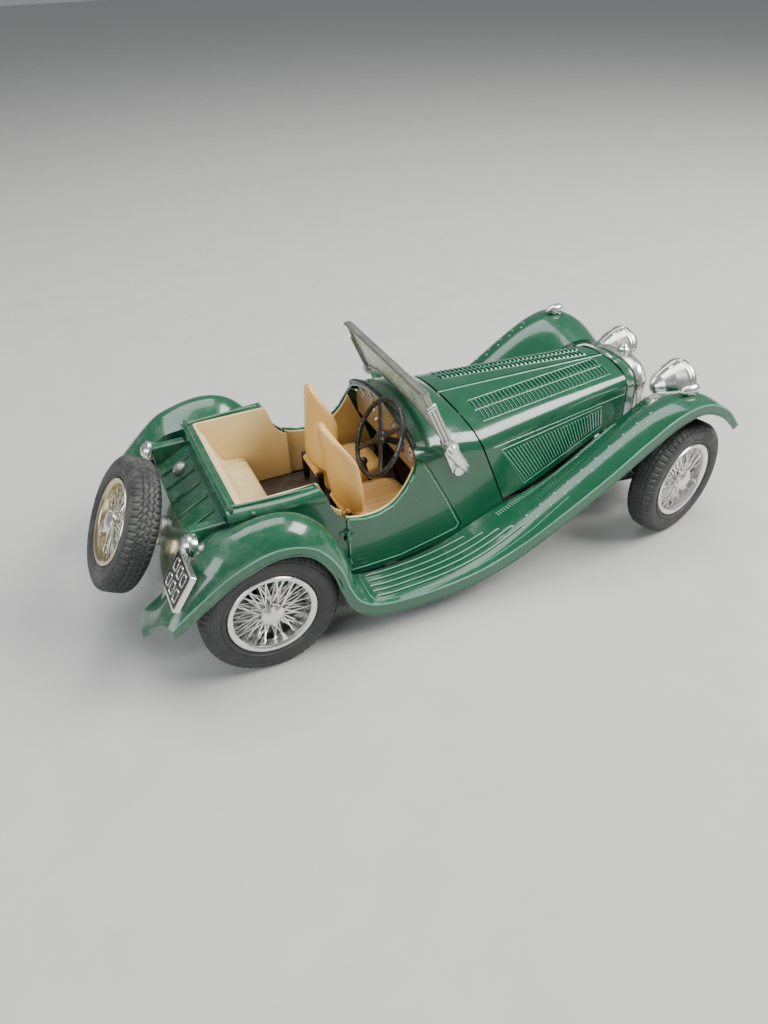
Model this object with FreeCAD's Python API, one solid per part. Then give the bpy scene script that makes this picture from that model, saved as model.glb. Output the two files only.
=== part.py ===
import FreeCAD, Part
import math
import os

# 1:18 pre-war open two-seater roadster, right-hand drive.  Millimetres.
# Stations run forward (+X) from the rear axle, +Y is the car's left, +Z is up and z = 0 is the
# ground.  save() moves everything so that the origin is under the middle of the whole model.

V = FreeCAD.Vector
ORIGIN_X = 61.85

# wheels and axles
TYRE_R = 20.5
TYRE_HALF_W = 4.7
RIM_R = 13.35
RIM_BORE = 12.3
WHEEL_Z = TYRE_R
REAR_WHEEL_Y = 38.0
KINGPIN_Y = 31.5
KINGPIN_TO_WHEEL = 5.5
FRONT_AXLE_X = 145.5
STEER_REST = 14.0
STUB_R = 1.2
REAR_SHAFT_R = 1.2
HUB_R = 2.6
SPOKES = 20
RUN_GAP = 0.05
ARM_LENGTH = 7.0
ARM_Z = 15.0
TRACK_ROD_Z = 17.1
AXLE_BEAM_Z = 17.9
SPRING_Y = 21.0
SPRING_LOW_Z = 13.0

# base casting
RAIL_Y = 15.0
PAN_BOTTOM_Z = 13.0
PAN_TOP_Z = 14.4
BOSS_X = (24.0, 112.0)
BOSS_BORE_R = 1.25
BOSS_DEPTH = 5.0
BOSS_BOTTOM_Z = 8.4
AXLE_TUNNEL_TOP_Z = 24.2

# body
SKIN = 1.6
DOOR_GAP = 0.3
COCKPIT_HALF_W = 25.6
COCKPIT_REAR_X = -2.2
DASH_X = 53.0
SEAM_TOP = (73.6, 53.2)
SEAM_RAKE = 0.35
SEAM_GAP = 0.5
BAND_REAR_X = 139.4
BAND_FRONT_X = 145.4
SHELL_FRONT_X = 151.0
TUB_WALL = 0.9
FLOOR_Z = 20.4
LIP_Y = 44.5
WING_T = 1.2

# hinges
DOOR_HINGE_X = 28.0
DOOR_HINGE_Y = 30.6
HINGE_PIN_R = 0.4
HINGE_HEIGHTS = (20.6, 31.0)
HINGE_KNUCKLE_R = 0.8
HINGE_KNUCKLE_LENGTH = 1.4
HINGE_RELIEF_R = 1.15
BONNET_AXIS_REAR = (73.6, 53.2)
BONNET_AXIS_FRONT = (139.0, 52.0)
SCREEN_PIVOT = (62.6, 51.4)
SCREEN_RAKE = 22.5
SCREEN_HALF_W = 28.5
SCREEN_TOP = 20.6
SCREEN_LOW_SIDE = 1.6
SCREEN_LOW_MID = 7.4
STANCHION_FOOT = (67.6, 40.4)
SEAT_PIVOT = (33.0, 29.5)
SEAT_Y = 12.6
SEAT_TILT = {"right": -7.0, "left": 4.0}
SEAT_BACK_H = 30.0

# steering wheel
STEERING_CENTRE = V(47.2, -12.5, 50.0)
STEERING_TILT = 28.6
STEERING_R = 12.0
COLUMN_R = 1.1

# instruments as (y, z, radius)
GAUGES = [(-19.0, 46.0, 2.7), (-7.2, 48.4, 2.5), (3.0, 48.6, 1.1), (10.8, 50.8, 1.5), (17.8, 49.0, 1.5)]

# spare wheel, tank and number plate
SPARE_CENTRE = V(-31.4, 0, 35.0)
SPARE_TILT = 30.0
SPARE_TO_TANK = 11.8
HUB_FACE = 1.6
TANK_FRONT_X = -5.4
TANK_TOP = (-6.0, 43.0)
TANK_EDGE = (-16.4, 37.4)
TANK_RIB_PITCH = 8.0
PLATE_CENTRE = V(-22.6, -37.3, 38.6)
PLATE_SIZE = (14.2, 11.8)
PLATE_TILT = 34.0

# lamps
LAMP_REAR = V(-16.6, 27.4, 41.0)
LAMP_REAR_R = 3.1
HEADLAMP = V(161.2, 15.9, 43.6)
HEADLAMP_R = 7.8
LAMP_BAR_Z = 32.4
SIDE_LAMP = V(145.5, 37.6, 54.2)


def save(name, shape):
    moved = shape.copy()
    moved.translate(V(-ORIGIN_X, 0, 0))
    moved.exportStep("parts/" + name + ".step")
    box = moved.BoundBox
    print("%-24s %2d solid(s) %9.1f mm3 valid=%s  x %.1f..%.1f y %.1f..%.1f z %.1f..%.1f" % (
        name, len(moved.Solids), moved.Volume, moved.isValid(),
        box.XMin, box.XMax, box.YMin, box.YMax, box.ZMin, box.ZMax))


def mirrored(shape):
    return shape.mirror(V(0, 0, 0), V(0, 1, 0))


def box(x0, x1, y0, y1, z0, z1):
    return Part.makeBox(x1 - x0, y1 - y0, z1 - z0, V(x0, y0, z0))


def rod(start, end, radius):
    along = end.sub(start)
    return Part.makeCylinder(radius, along.Length, start, along)


def fused(shapes):
    whole = shapes[0]
    for shape in shapes[1:]:
        whole = whole.fuse(shape)
    return whole.removeSplitter()


def rounded(shape, radius, edges=None):
    return shape.makeFillet(radius, edges or shape.Edges)


def prism_xz(points, y0, y1):
    """A side-view outline, given as (x, z), carried from y0 to y1."""
    wire = Part.makePolygon([V(x, y0, z) for x, z in points + points[:1]])
    return Part.Face(wire).extrude(V(0, y1 - y0, 0))


def spline_edge(points):
    curve = Part.BSplineCurve()
    curve.interpolate(points)
    return curve.toShape()


def turned(profile, origin, axis):
    """Revolve a closed (radius, distance) outline about an axis through origin."""
    axis = V(axis).normalize()
    side = axis.cross(V(0, 0, 1))
    if side.Length < 0.5:
        side = axis.cross(V(0, 1, 0))
    side.normalize()
    corners = [origin + side * r + axis * d for r, d in profile]
    face = Part.Face(Part.makePolygon(corners + corners[:1]))
    return face.revolve(origin, axis, 360)


# ---------------------------------------------------------------- body and bonnet sections

def body_section(x, sill, waist, shoulder, crown, inset=0.0, rake=0.0, drop=0.0):
    """Closed cross-section at station x: sill (y, z), waist (y, z), shoulder (y, z), crown z."""
    def place(y, z):
        return V(x + rake * (crown - z), y, z)
    ys, zs = sill[0] - inset, sill[1] - drop
    yw, zw = waist[0] - inset, waist[1]
    yt, zt = shoulder[0] - inset * 0.6, shoulder[1] - inset * 0.8
    top = crown - inset
    right = [place(-ys, zs), place(-(ys + yw) / 2 - 0.1, (zs + zw) / 2), place(-yw, zw)]
    corner = [place(-yw, zw), place(-(yw * 0.42 + yt * 0.58) - 0.9, (zw * 0.42 + zt * 0.58) + 0.7),
              place(-yt, zt)]
    roof = [place(-yt, zt), place(-yt * 0.5, (zt + top * 3) / 4 + 0.05), place(0, top),
            place(yt * 0.5, (zt + top * 3) / 4 + 0.05), place(yt, zt)]

    def flip(points):
        return [V(p.x, -p.y, p.z) for p in reversed(points)]
    edges = [spline_edge(right), spline_edge(corner), spline_edge(roof),
             spline_edge(flip(corner)), spline_edge(flip(right)),
             Part.makeLine(place(ys, zs), place(-ys, zs))]
    return Part.Wire(edges)


def loft(wires, ruled=False):
    return Part.makeLoft(wires, True, ruled)


# station, sill (y, z), waist (y, z), shoulder (y, z), crown z
TUB_STATIONS = [
    (-5.4, (26.6, 17.0), (28.4, 44.5), (26.8, 48.3), 48.6),
    (10.0, (28.8, 16.0), (29.6, 44.5), (28.0, 48.3), 48.6),
    (26.0, (30.0, 15.0), (30.1, 44.5), (28.0, 49.3), 50.5),
    (42.0, (29.6, 14.8), (29.2, 44.0), (25.4, 51.0), 54.5),
    (55.5, (28.8, 15.6), (27.4, 43.8), (22.6, 51.6), 57.2),
]
SEAM_STATION = (SEAM_TOP[0], (27.4, 20.0), (25.3, 43.4), (19.6, 50.0), SEAM_TOP[1])
NOSE_STATION = (BAND_REAR_X, (15.6, 30.0), (15.4, 45.4), (12.0, 50.3), 52.2)


def tub_solid(inset=0.0, rear_x=None, drop=0.0):
    wires = []
    for index, (x, sill, waist, shoulder, crown) in enumerate(TUB_STATIONS):
        station = x if (index or rear_x is None) else rear_x
        wires.append(body_section(station, sill, waist, shoulder, crown, inset, 0.0, drop))
    x, sill, waist, shoulder, crown = SEAM_STATION
    wires.append(body_section(x, sill, waist, shoulder, crown, inset, SEAM_RAKE, drop))
    return loft(wires)


def side_door_outline(grow):
    """Door outline in side view, rear edge at the hinge; grow widens it for the aperture."""
    rear = DOOR_HINGE_X + DOOR_GAP - grow
    return [(rear, 16.4 - grow), (46.0, 15.9 - grow), (60.0, 17.6 - grow),
            (66.4 + grow, 18.6 - grow), (68.0 + grow, 20.4), (62.6 + grow, 32.4),
            (57.0 + grow, 43.8), (55.2 + grow, 46.6 + grow), (53.0, 47.8 + grow), (rear, 60.0)]


def cockpit_side_cut():
    """Side-view region that is open above the cut-away sides and in front of the rear deck."""
    curve = [V(20.3, 0, 70), V(20.3, 0, 49.2), V(22.2, 0, 47.6), V(23.5, 0, 44.0), V(25.6, 0, 39.2),
             V(28.6, 0, 36.4), V(34.0, 0, 34.8), V(39.0, 0, 34.6), V(44.0, 0, 36.0),
             V(48.0, 0, 39.2), V(51.0, 0, 43.2), V(DASH_X, 0, 47.6)]
    sweep = spline_edge(curve[1:])
    lid = [Part.makeLine(curve[0], curve[1]), sweep,
           Part.makeLine(curve[-1], V(DASH_X, 0, 70)), Part.makeLine(V(DASH_X, 0, 70), curve[0])]
    face = Part.Face(Part.Wire(lid))
    face.translate(V(0, -60, 0))
    return face.extrude(V(0, 120, 0))


def body_shell():
    outer = tub_solid()
    inner = tub_solid(SKIN, TUB_STATIONS[0][0] + 1.4, 6.0)
    shell = outer.cut(inner)
    opening = box(COCKPIT_REAR_X, DASH_X, -COCKPIT_HALF_W, COCKPIT_HALF_W, 30, 80)
    opening = rounded(opening, 1.6, [e for e in opening.Edges
                                     if abs(e.Vertexes[0].X - COCKPIT_REAR_X) < 0.1
                                     and abs(e.Vertexes[1].X - COCKPIT_REAR_X) < 0.1
                                     and e.Length > 45 and abs(e.BoundBox.ZLength) > 40])
    shell = shell.cut(opening).cut(cockpit_side_cut())
    for y0, y1 in ((-40, -20), (20, 40)):
        shell = shell.cut(prism_xz(side_door_outline(DOOR_GAP), y0, y1))
    shell = shell.cut(box(-2.0, 2.0, -40, 40, 0, WHEEL_Z + 2.2))
    for side in (-1, 1):
        for z in HINGE_HEIGHTS:
            shell = shell.cut(knuckle_relief(side, z - HINGE_KNUCKLE_LENGTH))
    lugs = [hinge_lug(side, z) for side in (-1, 1) for z in HINGE_HEIGHTS]
    return fused([largest(shell)] + lugs)


def largest(shape):
    return max(shape.Solids, key=lambda solid: solid.Volume)


def knuckle_relief(side, z):
    """Round pocket that lets a hinge knuckle turn beside the other half of the hinge."""
    return Part.makeCylinder(HINGE_RELIEF_R, HINGE_KNUCKLE_LENGTH + 0.6,
                             V(DOOR_HINGE_X, side * DOOR_HINGE_Y, z - 0.3))


def hinge_lug(side, z):
    """Fixed knuckle above each door knuckle, standing on the rear door post."""
    axis_y = side * DOOR_HINGE_Y
    knuckle = Part.makeCylinder(HINGE_KNUCKLE_R, HINGE_KNUCKLE_LENGTH, V(DOOR_HINGE_X, axis_y, z + 0.3))
    y0, y1 = sorted((axis_y, axis_y - side * 1.2))
    arm = box(DOOR_HINGE_X - 2.2, DOOR_HINGE_X, y0, y1, z + 0.3, z + 0.3 + HINGE_KNUCKLE_LENGTH)
    bore = Part.makeCylinder(HINGE_PIN_R, 4, V(DOOR_HINGE_X, axis_y, z - 1))
    return knuckle.fuse(arm).cut(bore)


def door(side):
    skin = tub_solid().cut(tub_solid(SKIN, TUB_STATIONS[0][0] + 1.4, 6.0))
    span = (-40, -20) if side < 0 else (20, 40)
    panel = skin.common(prism_xz(side_door_outline(0.0), *span)).cut(cockpit_side_cut())
    for z in HINGE_HEIGHTS:
        panel = panel.cut(knuckle_relief(side, z + 0.3))
    axis_y = side * DOOR_HINGE_Y
    y0, y1 = sorted((axis_y, axis_y - side * 1.2))
    pieces = [largest(panel)]
    for z in HINGE_HEIGHTS:
        low = z - HINGE_KNUCKLE_LENGTH
        knuckle = Part.makeCylinder(HINGE_KNUCKLE_R, HINGE_KNUCKLE_LENGTH, V(DOOR_HINGE_X, axis_y, low))
        pieces.append(knuckle.fuse(box(DOOR_HINGE_X, DOOR_HINGE_X + 2.2, y0, y1, low, z)))
    whole = fused(pieces)
    for z in HINGE_HEIGHTS:
        whole = whole.cut(Part.makeCylinder(HINGE_PIN_R + RUN_GAP, 8, V(DOOR_HINGE_X, axis_y, z - 4)))
    return whole


def door_card(side):
    """Trim panel on the door's inner face."""
    outer = tub_solid(SKIN + 0.02, TUB_STATIONS[0][0] + 1.4, 3.0)
    inner = tub_solid(SKIN + 0.9, TUB_STATIONS[0][0] + 2.4, 6.0)
    outline = [(28.9, 19.0), (62.0, 19.0), (58.0, 32.0), (54.0, 41.0), (52.4, 45.2), (28.9, 60.0)]
    span = (-40, -20) if side < 0 else (20, 40)
    panel = outer.cut(inner).common(prism_xz(outline, *span)).cut(cockpit_side_cut())
    return largest(panel)


# ---------------------------------------------------------------- bonnet

def bonnet_envelope(inset, stretch=0.0):
    x, sill, waist, shoulder, crown = SEAM_STATION
    rear = body_section(x - stretch, sill, waist, shoulder, crown, inset, SEAM_RAKE, stretch)
    x, sill, waist, shoulder, crown = NOSE_STATION
    front = body_section(x + stretch, sill, waist, shoulder, crown, inset, 0.0, stretch)
    return loft([rear, front])


def bonnet(side):
    shell = bonnet_envelope(0.0).cut(bonnet_envelope(1.2, 6.0))
    rear_x, rear_z = SEAM_TOP
    lean = (rear_z - 10.0) * SEAM_RAKE
    side_view = prism_xz([(rear_x + SEAM_GAP, rear_z + 0.2), (rear_x + SEAM_GAP - 2, rear_z + 6),
                          (BAND_REAR_X - SEAM_GAP, 60), (BAND_REAR_X - SEAM_GAP, 33.6),
                          (127.0, 32.4), (112.0, 28.6), (98.0, 25.2), (86.0, 24.6),
                          (rear_x + SEAM_GAP + lean * 0.665, 24.6)],
                         min(side * 0.75, side * 40), max(side * 0.75, side * 40))
    panel = shell.common(side_view)
    panel = largest(panel)
    start = V(BONNET_AXIS_REAR[0] + 2, 0, BONNET_AXIS_REAR[1] - 0.4)
    end = V(BONNET_AXIS_FRONT[0] - 2, 0, BONNET_AXIS_FRONT[1] - 0.4)
    return panel.cut(rod(start, end, 0.75))


def bonnet_hinge_rod():
    start = V(BONNET_AXIS_REAR[0] + 0.05, 0, BONNET_AXIS_REAR[1] - 0.15)
    end = V(BAND_REAR_X - 0.02, 0, BONNET_AXIS_FRONT[1] - 0.1)
    return rod(start, end, 0.45)


# ---------------------------------------------------------------- radiator

def hood_outline(x, half_w, top, bottom, corner):
    """Arched doorway outline used by the radiator surround, shell and core."""
    shoulder = top - corner
    left = [V(x, -half_w, bottom), V(x, -half_w, shoulder)]
    arch = [V(x, -half_w, shoulder), V(x, -half_w * 0.82, top - corner * 0.36), V(x, 0, top),
            V(x, half_w * 0.82, top - corner * 0.36), V(x, half_w, shoulder)]
    return Part.Wire([Part.makeLine(left[0], left[1]), spline_edge(arch),
                      Part.makeLine(arch[-1], V(x, half_w, bottom)),
                      Part.makeLine(V(x, half_w, bottom), left[0])])


def radiator_surround():
    outer = loft([hood_outline(BAND_REAR_X, 15.5, 52.2, 26, 6.2),
                  hood_outline(BAND_FRONT_X, 12.8, 50.4, 24, 6.2)])
    inner = loft([hood_outline(BAND_REAR_X - 0.1, 14.3, 51.0, 20, 6.0),
                  hood_outline(BAND_FRONT_X + 0.1, 11.6, 49.2, 20, 6.0)])
    return outer.cut(inner)


def radiator_shell():
    outer = loft([hood_outline(BAND_FRONT_X, 13.0, 50.9, 20.6, 6.4),
                  hood_outline(BAND_FRONT_X + 3.2, 13.0, 51.6, 20.0, 6.6),
                  hood_outline(SHELL_FRONT_X, 11.6, 50.2, 20.0, 6.2)])
    hole = loft([hood_outline(BAND_FRONT_X - 0.5, 10.6, 48.0, 22.0, 5.6),
                 hood_outline(SHELL_FRONT_X + 0.5, 9.6, 47.6, 22.0, 5.4)])
    return outer.cut(hole)


def radiator_grille():
    core = loft([hood_outline(BAND_FRONT_X + 0.3, 10.58, 47.95, 22.02, 5.5),
                 hood_outline(SHELL_FRONT_X - 2.2, 9.8, 47.5, 22.02, 5.3)])
    slats = [core]
    count = 13
    for index in range(count):
        y = (index - (count - 1) / 2) * 1.4
        top = 46.6 - 0.045 * y * y
        slats.append(box(SHELL_FRONT_X - 2.3, SHELL_FRONT_X - 1.0, y - 0.25, y + 0.25, 22.4, top))
    return fused(slats)


def radiator_cap():
    return turned([(0, 0), (2.1, 0), (2.1, 1.0), (1.5, 1.5), (1.5, 2.0), (0.9, 2.6), (0, 2.9)],
                  V(BAND_FRONT_X + 3.2, 0, 51.6), V(0, 0, 1))


# ---------------------------------------------------------------- wings and running boards

# lip bottom x, z, lean of the section from vertical (deg, + forward), lip height,
# crown y, crown height, inner y, inner height, inner leg
WING_STATIONS = [
    (-33.2, 23.4, -78, 1.6, 37.0, 1.9, 28.6, 0.9, 0.6),
    (-27.2, 25.6, -52, 2.6, 37.0, 4.5, 28.9, 3.0, 0.8),
    (-17.6, 32.2, -34, 3.0, 37.0, 7.4, 29.1, 4.8, 0.8),
    (-7.6, 38.4, -22, 3.0, 37.0, 9.6, 29.3, 6.6, 0.8),
    (3.2, 41.6, 2, 2.8, 37.0, 9.0, 29.9, 4.6, 0.8),
    (12.0, 39.2, 34, 2.6, 37.0, 7.6, 30.5, 3.6, 0.8),
    (17.9, 31.4, 62, 2.4, 37.4, 5.8, 30.7, 3.6, 0.8),
    (20.9, 22.0, 72, 2.4, 37.6, 4.6, 30.7, 3.8, 0.8),
    (24.0, 14.6, 50, 3.2, 37.6, 4.4, 30.7, 4.2, 0.8),
    (30.4, 10.0, 22, 3.9, 37.6, 4.6, 30.7, 5.2, 0.8),
    (40.0, 8.1, 4, 4.2, 37.6, 5.2, 30.3, 6.2, 0.8),
    (53.0, 7.9, -4, 4.2, 37.6, 5.6, 29.8, 7.0, 0.8),
    (67.0, 9.4, -10, 4.4, 37.6, 6.2, 28.9, 8.2, 0.8),
    (81.0, 13.9, -18, 4.4, 37.4, 7.0, 27.9, 8.0, 1.4),
    (97.0, 22.0, -27, 4.0, 36.8, 7.4, 26.6, 3.6, 4.0),
    (113.0, 31.2, -30, 3.8, 36.6, 7.4, 25.2, 0.8, 5.0),
    (128.0, 41.0, -32, 3.6, 36.8, 6.8, 24.0, -1.4, 1.2),
    (138.0, 46.6, -18, 3.4, 37.2, 5.4, 23.4, -2.0, 0.8),
    (147.0, 48.2, 6, 3.2, 37.4, 4.0, 23.4, -1.8, 0.8),
    (155.0, 45.0, 34, 2.6, 37.4, 3.2, 24.6, -0.6, 0.8),
    (161.4, 39.0, 50, 1.6, 37.0, 2.2, 27.4, 0.6, 0.6),
]


def wing_section(x, z, lean, lip, crown_y, crown_h, inner_y, inner_h, leg):
    """Closed wing section in a leaning plane: lip, crowned top, inner leg and their undersides."""
    angle = math.radians(lean)
    nx, nz = math.sin(angle), math.cos(angle)

    def at(y, h):
        return V(x + nx * h, -y, z + nz * h)
    t = WING_T
    thin = min(t, lip * 0.6)
    mid_y = (crown_y + inner_y) / 2
    mid_h = crown_h * 0.62 + inner_h * 0.38
    out_y = (LIP_Y + crown_y) / 2 + 0.4
    out_h = crown_h * 0.78 + lip * 0.22
    top = spline_edge([at(LIP_Y, lip), at(out_y, out_h), at(crown_y, crown_h), at(mid_y, mid_h),
                       at(inner_y, inner_h)])
    under = spline_edge([at(inner_y + t, inner_h - t), at(mid_y, mid_h - t),
                         at(crown_y, crown_h - t), at(out_y - 0.3, out_h - t),
                         at(LIP_Y - t, lip - thin)])
    return Part.Wire([
        Part.makeLine(at(LIP_Y, 0), at(LIP_Y, lip)),
        top,
        Part.makeLine(at(inner_y, inner_h), at(inner_y, inner_h - t - leg)),
        Part.makeLine(at(inner_y, inner_h - t - leg), at(inner_y + t, inner_h - t - leg)),
        Part.makeLine(at(inner_y + t, inner_h - t - leg), at(inner_y + t, inner_h - t)),
        under,
        Part.makeLine(at(LIP_Y - t, lip - thin), at(LIP_Y - t, 0)),
        Part.makeLine(at(LIP_Y - t, 0), at(LIP_Y, 0))])


def wing():
    """Right-hand wing and running board, its tail cut away towards the outer edge."""
    corner = [(-60, -50), (-26.8, -50), (-27.6, -44.6), (-29.8, -41.2), (-33.0, -38.2), (-60, -37)]
    trim = Part.Face(Part.makePolygon([V(x, y, 10) for x, y in corner + corner[:1]])).extrude(V(0, 0, 40))
    return loft([wing_section(*station) for station in WING_STATIONS]).cut(trim)


# ---------------------------------------------------------------- chassis

def chassis_frame():
    """Base casting: floor pan, side rails, cross members, springs, exhaust and screw bosses."""
    pieces = [box(-4.0, 84.0, -26.2, 26.2, PAN_BOTTOM_Z, PAN_TOP_Z),
              box(80.0, 145.0, -12.0, 12.0, PAN_BOTTOM_Z, PAN_TOP_Z),
              box(40.0, 44.0, -30.3, 30.3, PAN_BOTTOM_Z, 14.8),
              box(72.0, 76.0, -28.4, 28.4, PAN_BOTTOM_Z, 14.8)]
    for side in (-1, 1):
        pieces.append(box(-5.0, 160.0, side * RAIL_Y - 1.5, side * RAIL_Y + 1.5, 11.0, 15.6))
        pieces.append(rear_bearing(side))
        pieces.append(leaf_spring(side, 126.0, 164.0, SPRING_LOW_Z, 17.2))
    for x in (60.0, 122.0, 156.0):
        pieces.append(box(x, x + 3.0, -RAIL_Y, RAIL_Y, 11.6, PAN_TOP_Z))
    pieces += [Part.makeCylinder(3.0, 6.0, V(x, 0, BOSS_BOTTOM_Z)) for x in BOSS_X]
    pieces.append(exhaust())
    whole = fused(pieces)
    for x in BOSS_X:
        whole = whole.cut(Part.makeCylinder(BOSS_BORE_R, BOSS_DEPTH, V(x, 0, BOSS_BOTTOM_Z)))
    return whole.cut(rod(V(0, -40, WHEEL_Z), V(0, 40, WHEEL_Z), REAR_SHAFT_R + RUN_GAP))


def exhaust():
    """Pipe and silencer cast along the right of the pan, with two hangers."""
    y, z = 9.0, 10.6
    pipe = rod(V(96, y, z), V(-20, y, z), 1.2)
    silencer = rod(V(60, y, z), V(34, y, z), 2.4)
    hangers = [box(84, 90, y - 2.5, y + 2.5, z, PAN_BOTTOM_Z), box(-3, 1, y - 2.0, y + 2.0, z, PAN_BOTTOM_Z)]
    return fused([pipe, silencer] + hangers)


def rear_bearing(side):
    y = side * 20.0
    post = box(-2.6, 2.6, min(side * 13.6, y), max(side * 13.6, y), 13.2, 15.4)
    block = box(-2.6, 2.6, y - 1.6, y + 1.6, 13.2, WHEEL_Z + 2.8)
    return fused([post, block])


def leaf_spring(side, x0, x1, z_low, z_high):
    """Bow-shaped leaf pack hung under the front of each rail."""
    y = side * SPRING_Y
    middle = (x0 + x1) / 2
    arc = Part.Arc(V(x0, y - 1.2, z_high), V(middle, y - 1.2, z_low), V(x1, y - 1.2, z_high)).toShape()
    back = Part.Arc(V(x1, y - 1.2, z_high - 1.6), V(middle, y - 1.2, z_low - 1.6),
                    V(x0, y - 1.2, z_high - 1.6)).toShape()
    wire = Part.Wire([arc, Part.makeLine(V(x1, y - 1.2, z_high), V(x1, y - 1.2, z_high - 1.6)), back,
                      Part.makeLine(V(x0, y - 1.2, z_high - 1.6), V(x0, y - 1.2, z_high))])
    leaf = Part.Face(wire).extrude(V(0, 2.4, 0))
    hangers = [box(x, x + 2.0, min(side * 14, y + side * 1.2), max(side * 14, y + side * 1.2), 13.4, 16.4)
               for x in (x0 + 0.4, x1 - 13.5)]
    return fused([leaf] + hangers)


def front_axle():
    """Dead axle with an upright eye at each end for the steering knuckle's kingpin."""
    beam = rod(V(FRONT_AXLE_X, -KINGPIN_Y, AXLE_BEAM_Z), V(FRONT_AXLE_X, KINGPIN_Y, AXLE_BEAM_Z), 1.1)
    eyes = [Part.makeCylinder(2.1, 5.0, V(FRONT_AXLE_X, side * KINGPIN_Y, 18.0)) for side in (-1, 1)]
    risers = [box(FRONT_AXLE_X - 1.0, FRONT_AXLE_X + 1.0, side * KINGPIN_Y - 2, side * KINGPIN_Y + 2,
                  17.2, 20.0) for side in (-1, 1)]
    whole = fused([beam] + eyes + risers)
    whole = whole.common(box(FRONT_AXLE_X - 5, FRONT_AXLE_X + 5, -34, 34, 16.8, 22.6))
    pads = [box(FRONT_AXLE_X - 1.6, FRONT_AXLE_X + 1.6, side * SPRING_Y - 1.5, side * SPRING_Y + 1.5,
                SPRING_LOW_Z, AXLE_BEAM_Z) for side in (-1, 1)]
    whole = fused([whole] + pads)
    for side in (-1, 1):
        whole = whole.cut(Part.makeCylinder(1.0 + RUN_GAP, 12, V(FRONT_AXLE_X, side * KINGPIN_Y, 13)))
    return whole


def steered(shape, side):
    """Turn a front-wheel part about its kingpin into the resting steering angle."""
    shape = shape.copy()
    shape.rotate(V(FRONT_AXLE_X, side * KINGPIN_Y, 0), V(0, 0, 1), STEER_REST)
    return shape


def knuckle(side):
    y = side * KINGPIN_Y
    x = FRONT_AXLE_X
    pin = Part.makeCylinder(1.0, 8.0, V(x, y, 16.0))
    caps = [Part.makeCylinder(2.1, 1.3, V(x, y, z)) for z in (ARM_Z, 23.0)]
    web = box(x - 2.1, x + 2.1, *sorted((y + side * 2.4, y + side * 3.3)), ARM_Z, 24.3)
    flanges = [box(x - 1.6, x + 1.6, *sorted((y, y + side * 3.0)), z, z + 1.3) for z in (ARM_Z, 23.0)]
    stub_end = side * (KINGPIN_Y + KINGPIN_TO_WHEEL + 2.4)
    stub = rod(V(x, y + side * 2.6, WHEEL_Z), V(x, stub_end, WHEEL_Z), STUB_R)
    arm = box(x - ARM_LENGTH - 0.9, x, y - 0.9, y + 0.9, ARM_Z, ARM_Z + 1.0)
    ball = Part.makeCylinder(0.6, 3.3, V(x - ARM_LENGTH, y, ARM_Z))
    return steered(fused([pin, web, stub, arm, ball] + caps + flanges), side)


def track_rod():
    """Steering tie rod with an eye at each end, lying over the knuckle arms and the rails."""
    angle = math.radians(STEER_REST)
    x = FRONT_AXLE_X - ARM_LENGTH * math.cos(angle)
    shift = -ARM_LENGTH * math.sin(angle)
    ends = [V(x, side * KINGPIN_Y + shift, TRACK_ROD_Z) for side in (-1, 1)]
    whole = fused([rod(ends[0], ends[1], 0.6)] +
                  [Part.makeCylinder(2.0, 1.4, end - V(0, 0, 0.7)) for end in ends])
    for end in ends:
        whole = whole.cut(Part.makeCylinder(1.15, 5, end - V(0, 0, 2.5)))
    return whole


# ---------------------------------------------------------------- wheels

TYRE_PROFILE = [(RIM_R, -3.5), (15.2, -4.4), (17.0, -TYRE_HALF_W), (19.0, -4.3), (20.1, -3.4),
                (TYRE_R, -1.6), (TYRE_R, 1.6), (20.1, 3.4), (19.0, 4.3), (17.0, TYRE_HALF_W),
                (15.2, 4.4), (RIM_R, 3.5)]


def tyre(centre, outward):
    return turned(TYRE_PROFILE, centre, outward)


def wire_wheel(centre, outward, bore_r):
    """Rim, hub barrel with knock-off cap and two rows of wire spokes; bore_r 0 gives no bore."""
    outward = V(outward).normalize()
    rim = turned([(RIM_R, -4.0), (RIM_R, 4.0), (12.7, 4.0), (RIM_BORE, 3.0), (11.9, 1.2),
                  (11.9, -1.2), (RIM_BORE, -3.0), (12.7, -4.0)], centre, outward)
    hub = turned([(0, -HUB_FACE), (HUB_R, -HUB_FACE), (HUB_R, 3.4), (3.0, 3.5), (2.7, 4.6),
                  (1.6, 5.3), (0, 5.5)],
                 centre, outward)
    first = outward.cross(V(0.31, 0.2, 0.93)).normalize()
    second = outward.cross(first)
    pieces = [rim, hub]
    for index in range(SPOKES):
        turn = 2 * math.pi * index / SPOKES
        lead = 0.32 if index % 4 < 2 else -0.32
        level = 2.6 if index % 2 else -1.0
        start = first * math.cos(turn) + second * math.sin(turn)
        finish = first * math.cos(turn + lead) + second * math.sin(turn + lead)
        pieces.append(rod(centre + start * 2.2 + outward * level, centre + finish * 12.3, 0.32))
    ears = Part.makeBox(1.0, 7.6, 0.9, V(-0.5, -3.8, 0))
    ears.Placement = FreeCAD.Placement(centre + outward * 3.9, FreeCAD.Rotation(V(0, 0, 1), outward))
    wheel = fused(pieces + [ears])
    if bore_r:
        wheel = wheel.cut(rod(centre - outward * 2, centre + outward * 2.6, bore_r))
    return wheel


def front_wheel_parts(side):
    centre = V(FRONT_AXLE_X, side * (KINGPIN_Y + KINGPIN_TO_WHEEL), WHEEL_Z)
    outward = V(0, side, 0)
    return (steered(tyre(centre, outward), side),
            steered(wire_wheel(centre, outward, STUB_R + RUN_GAP), side))


def rear_axle():
    reach = REAR_WHEEL_Y + 2.6
    return rod(V(0, -reach, WHEEL_Z), V(0, reach, WHEEL_Z), REAR_SHAFT_R)


def spare_outward():
    angle = math.radians(SPARE_TILT)
    return V(-math.cos(angle), 0, math.sin(angle))


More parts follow.
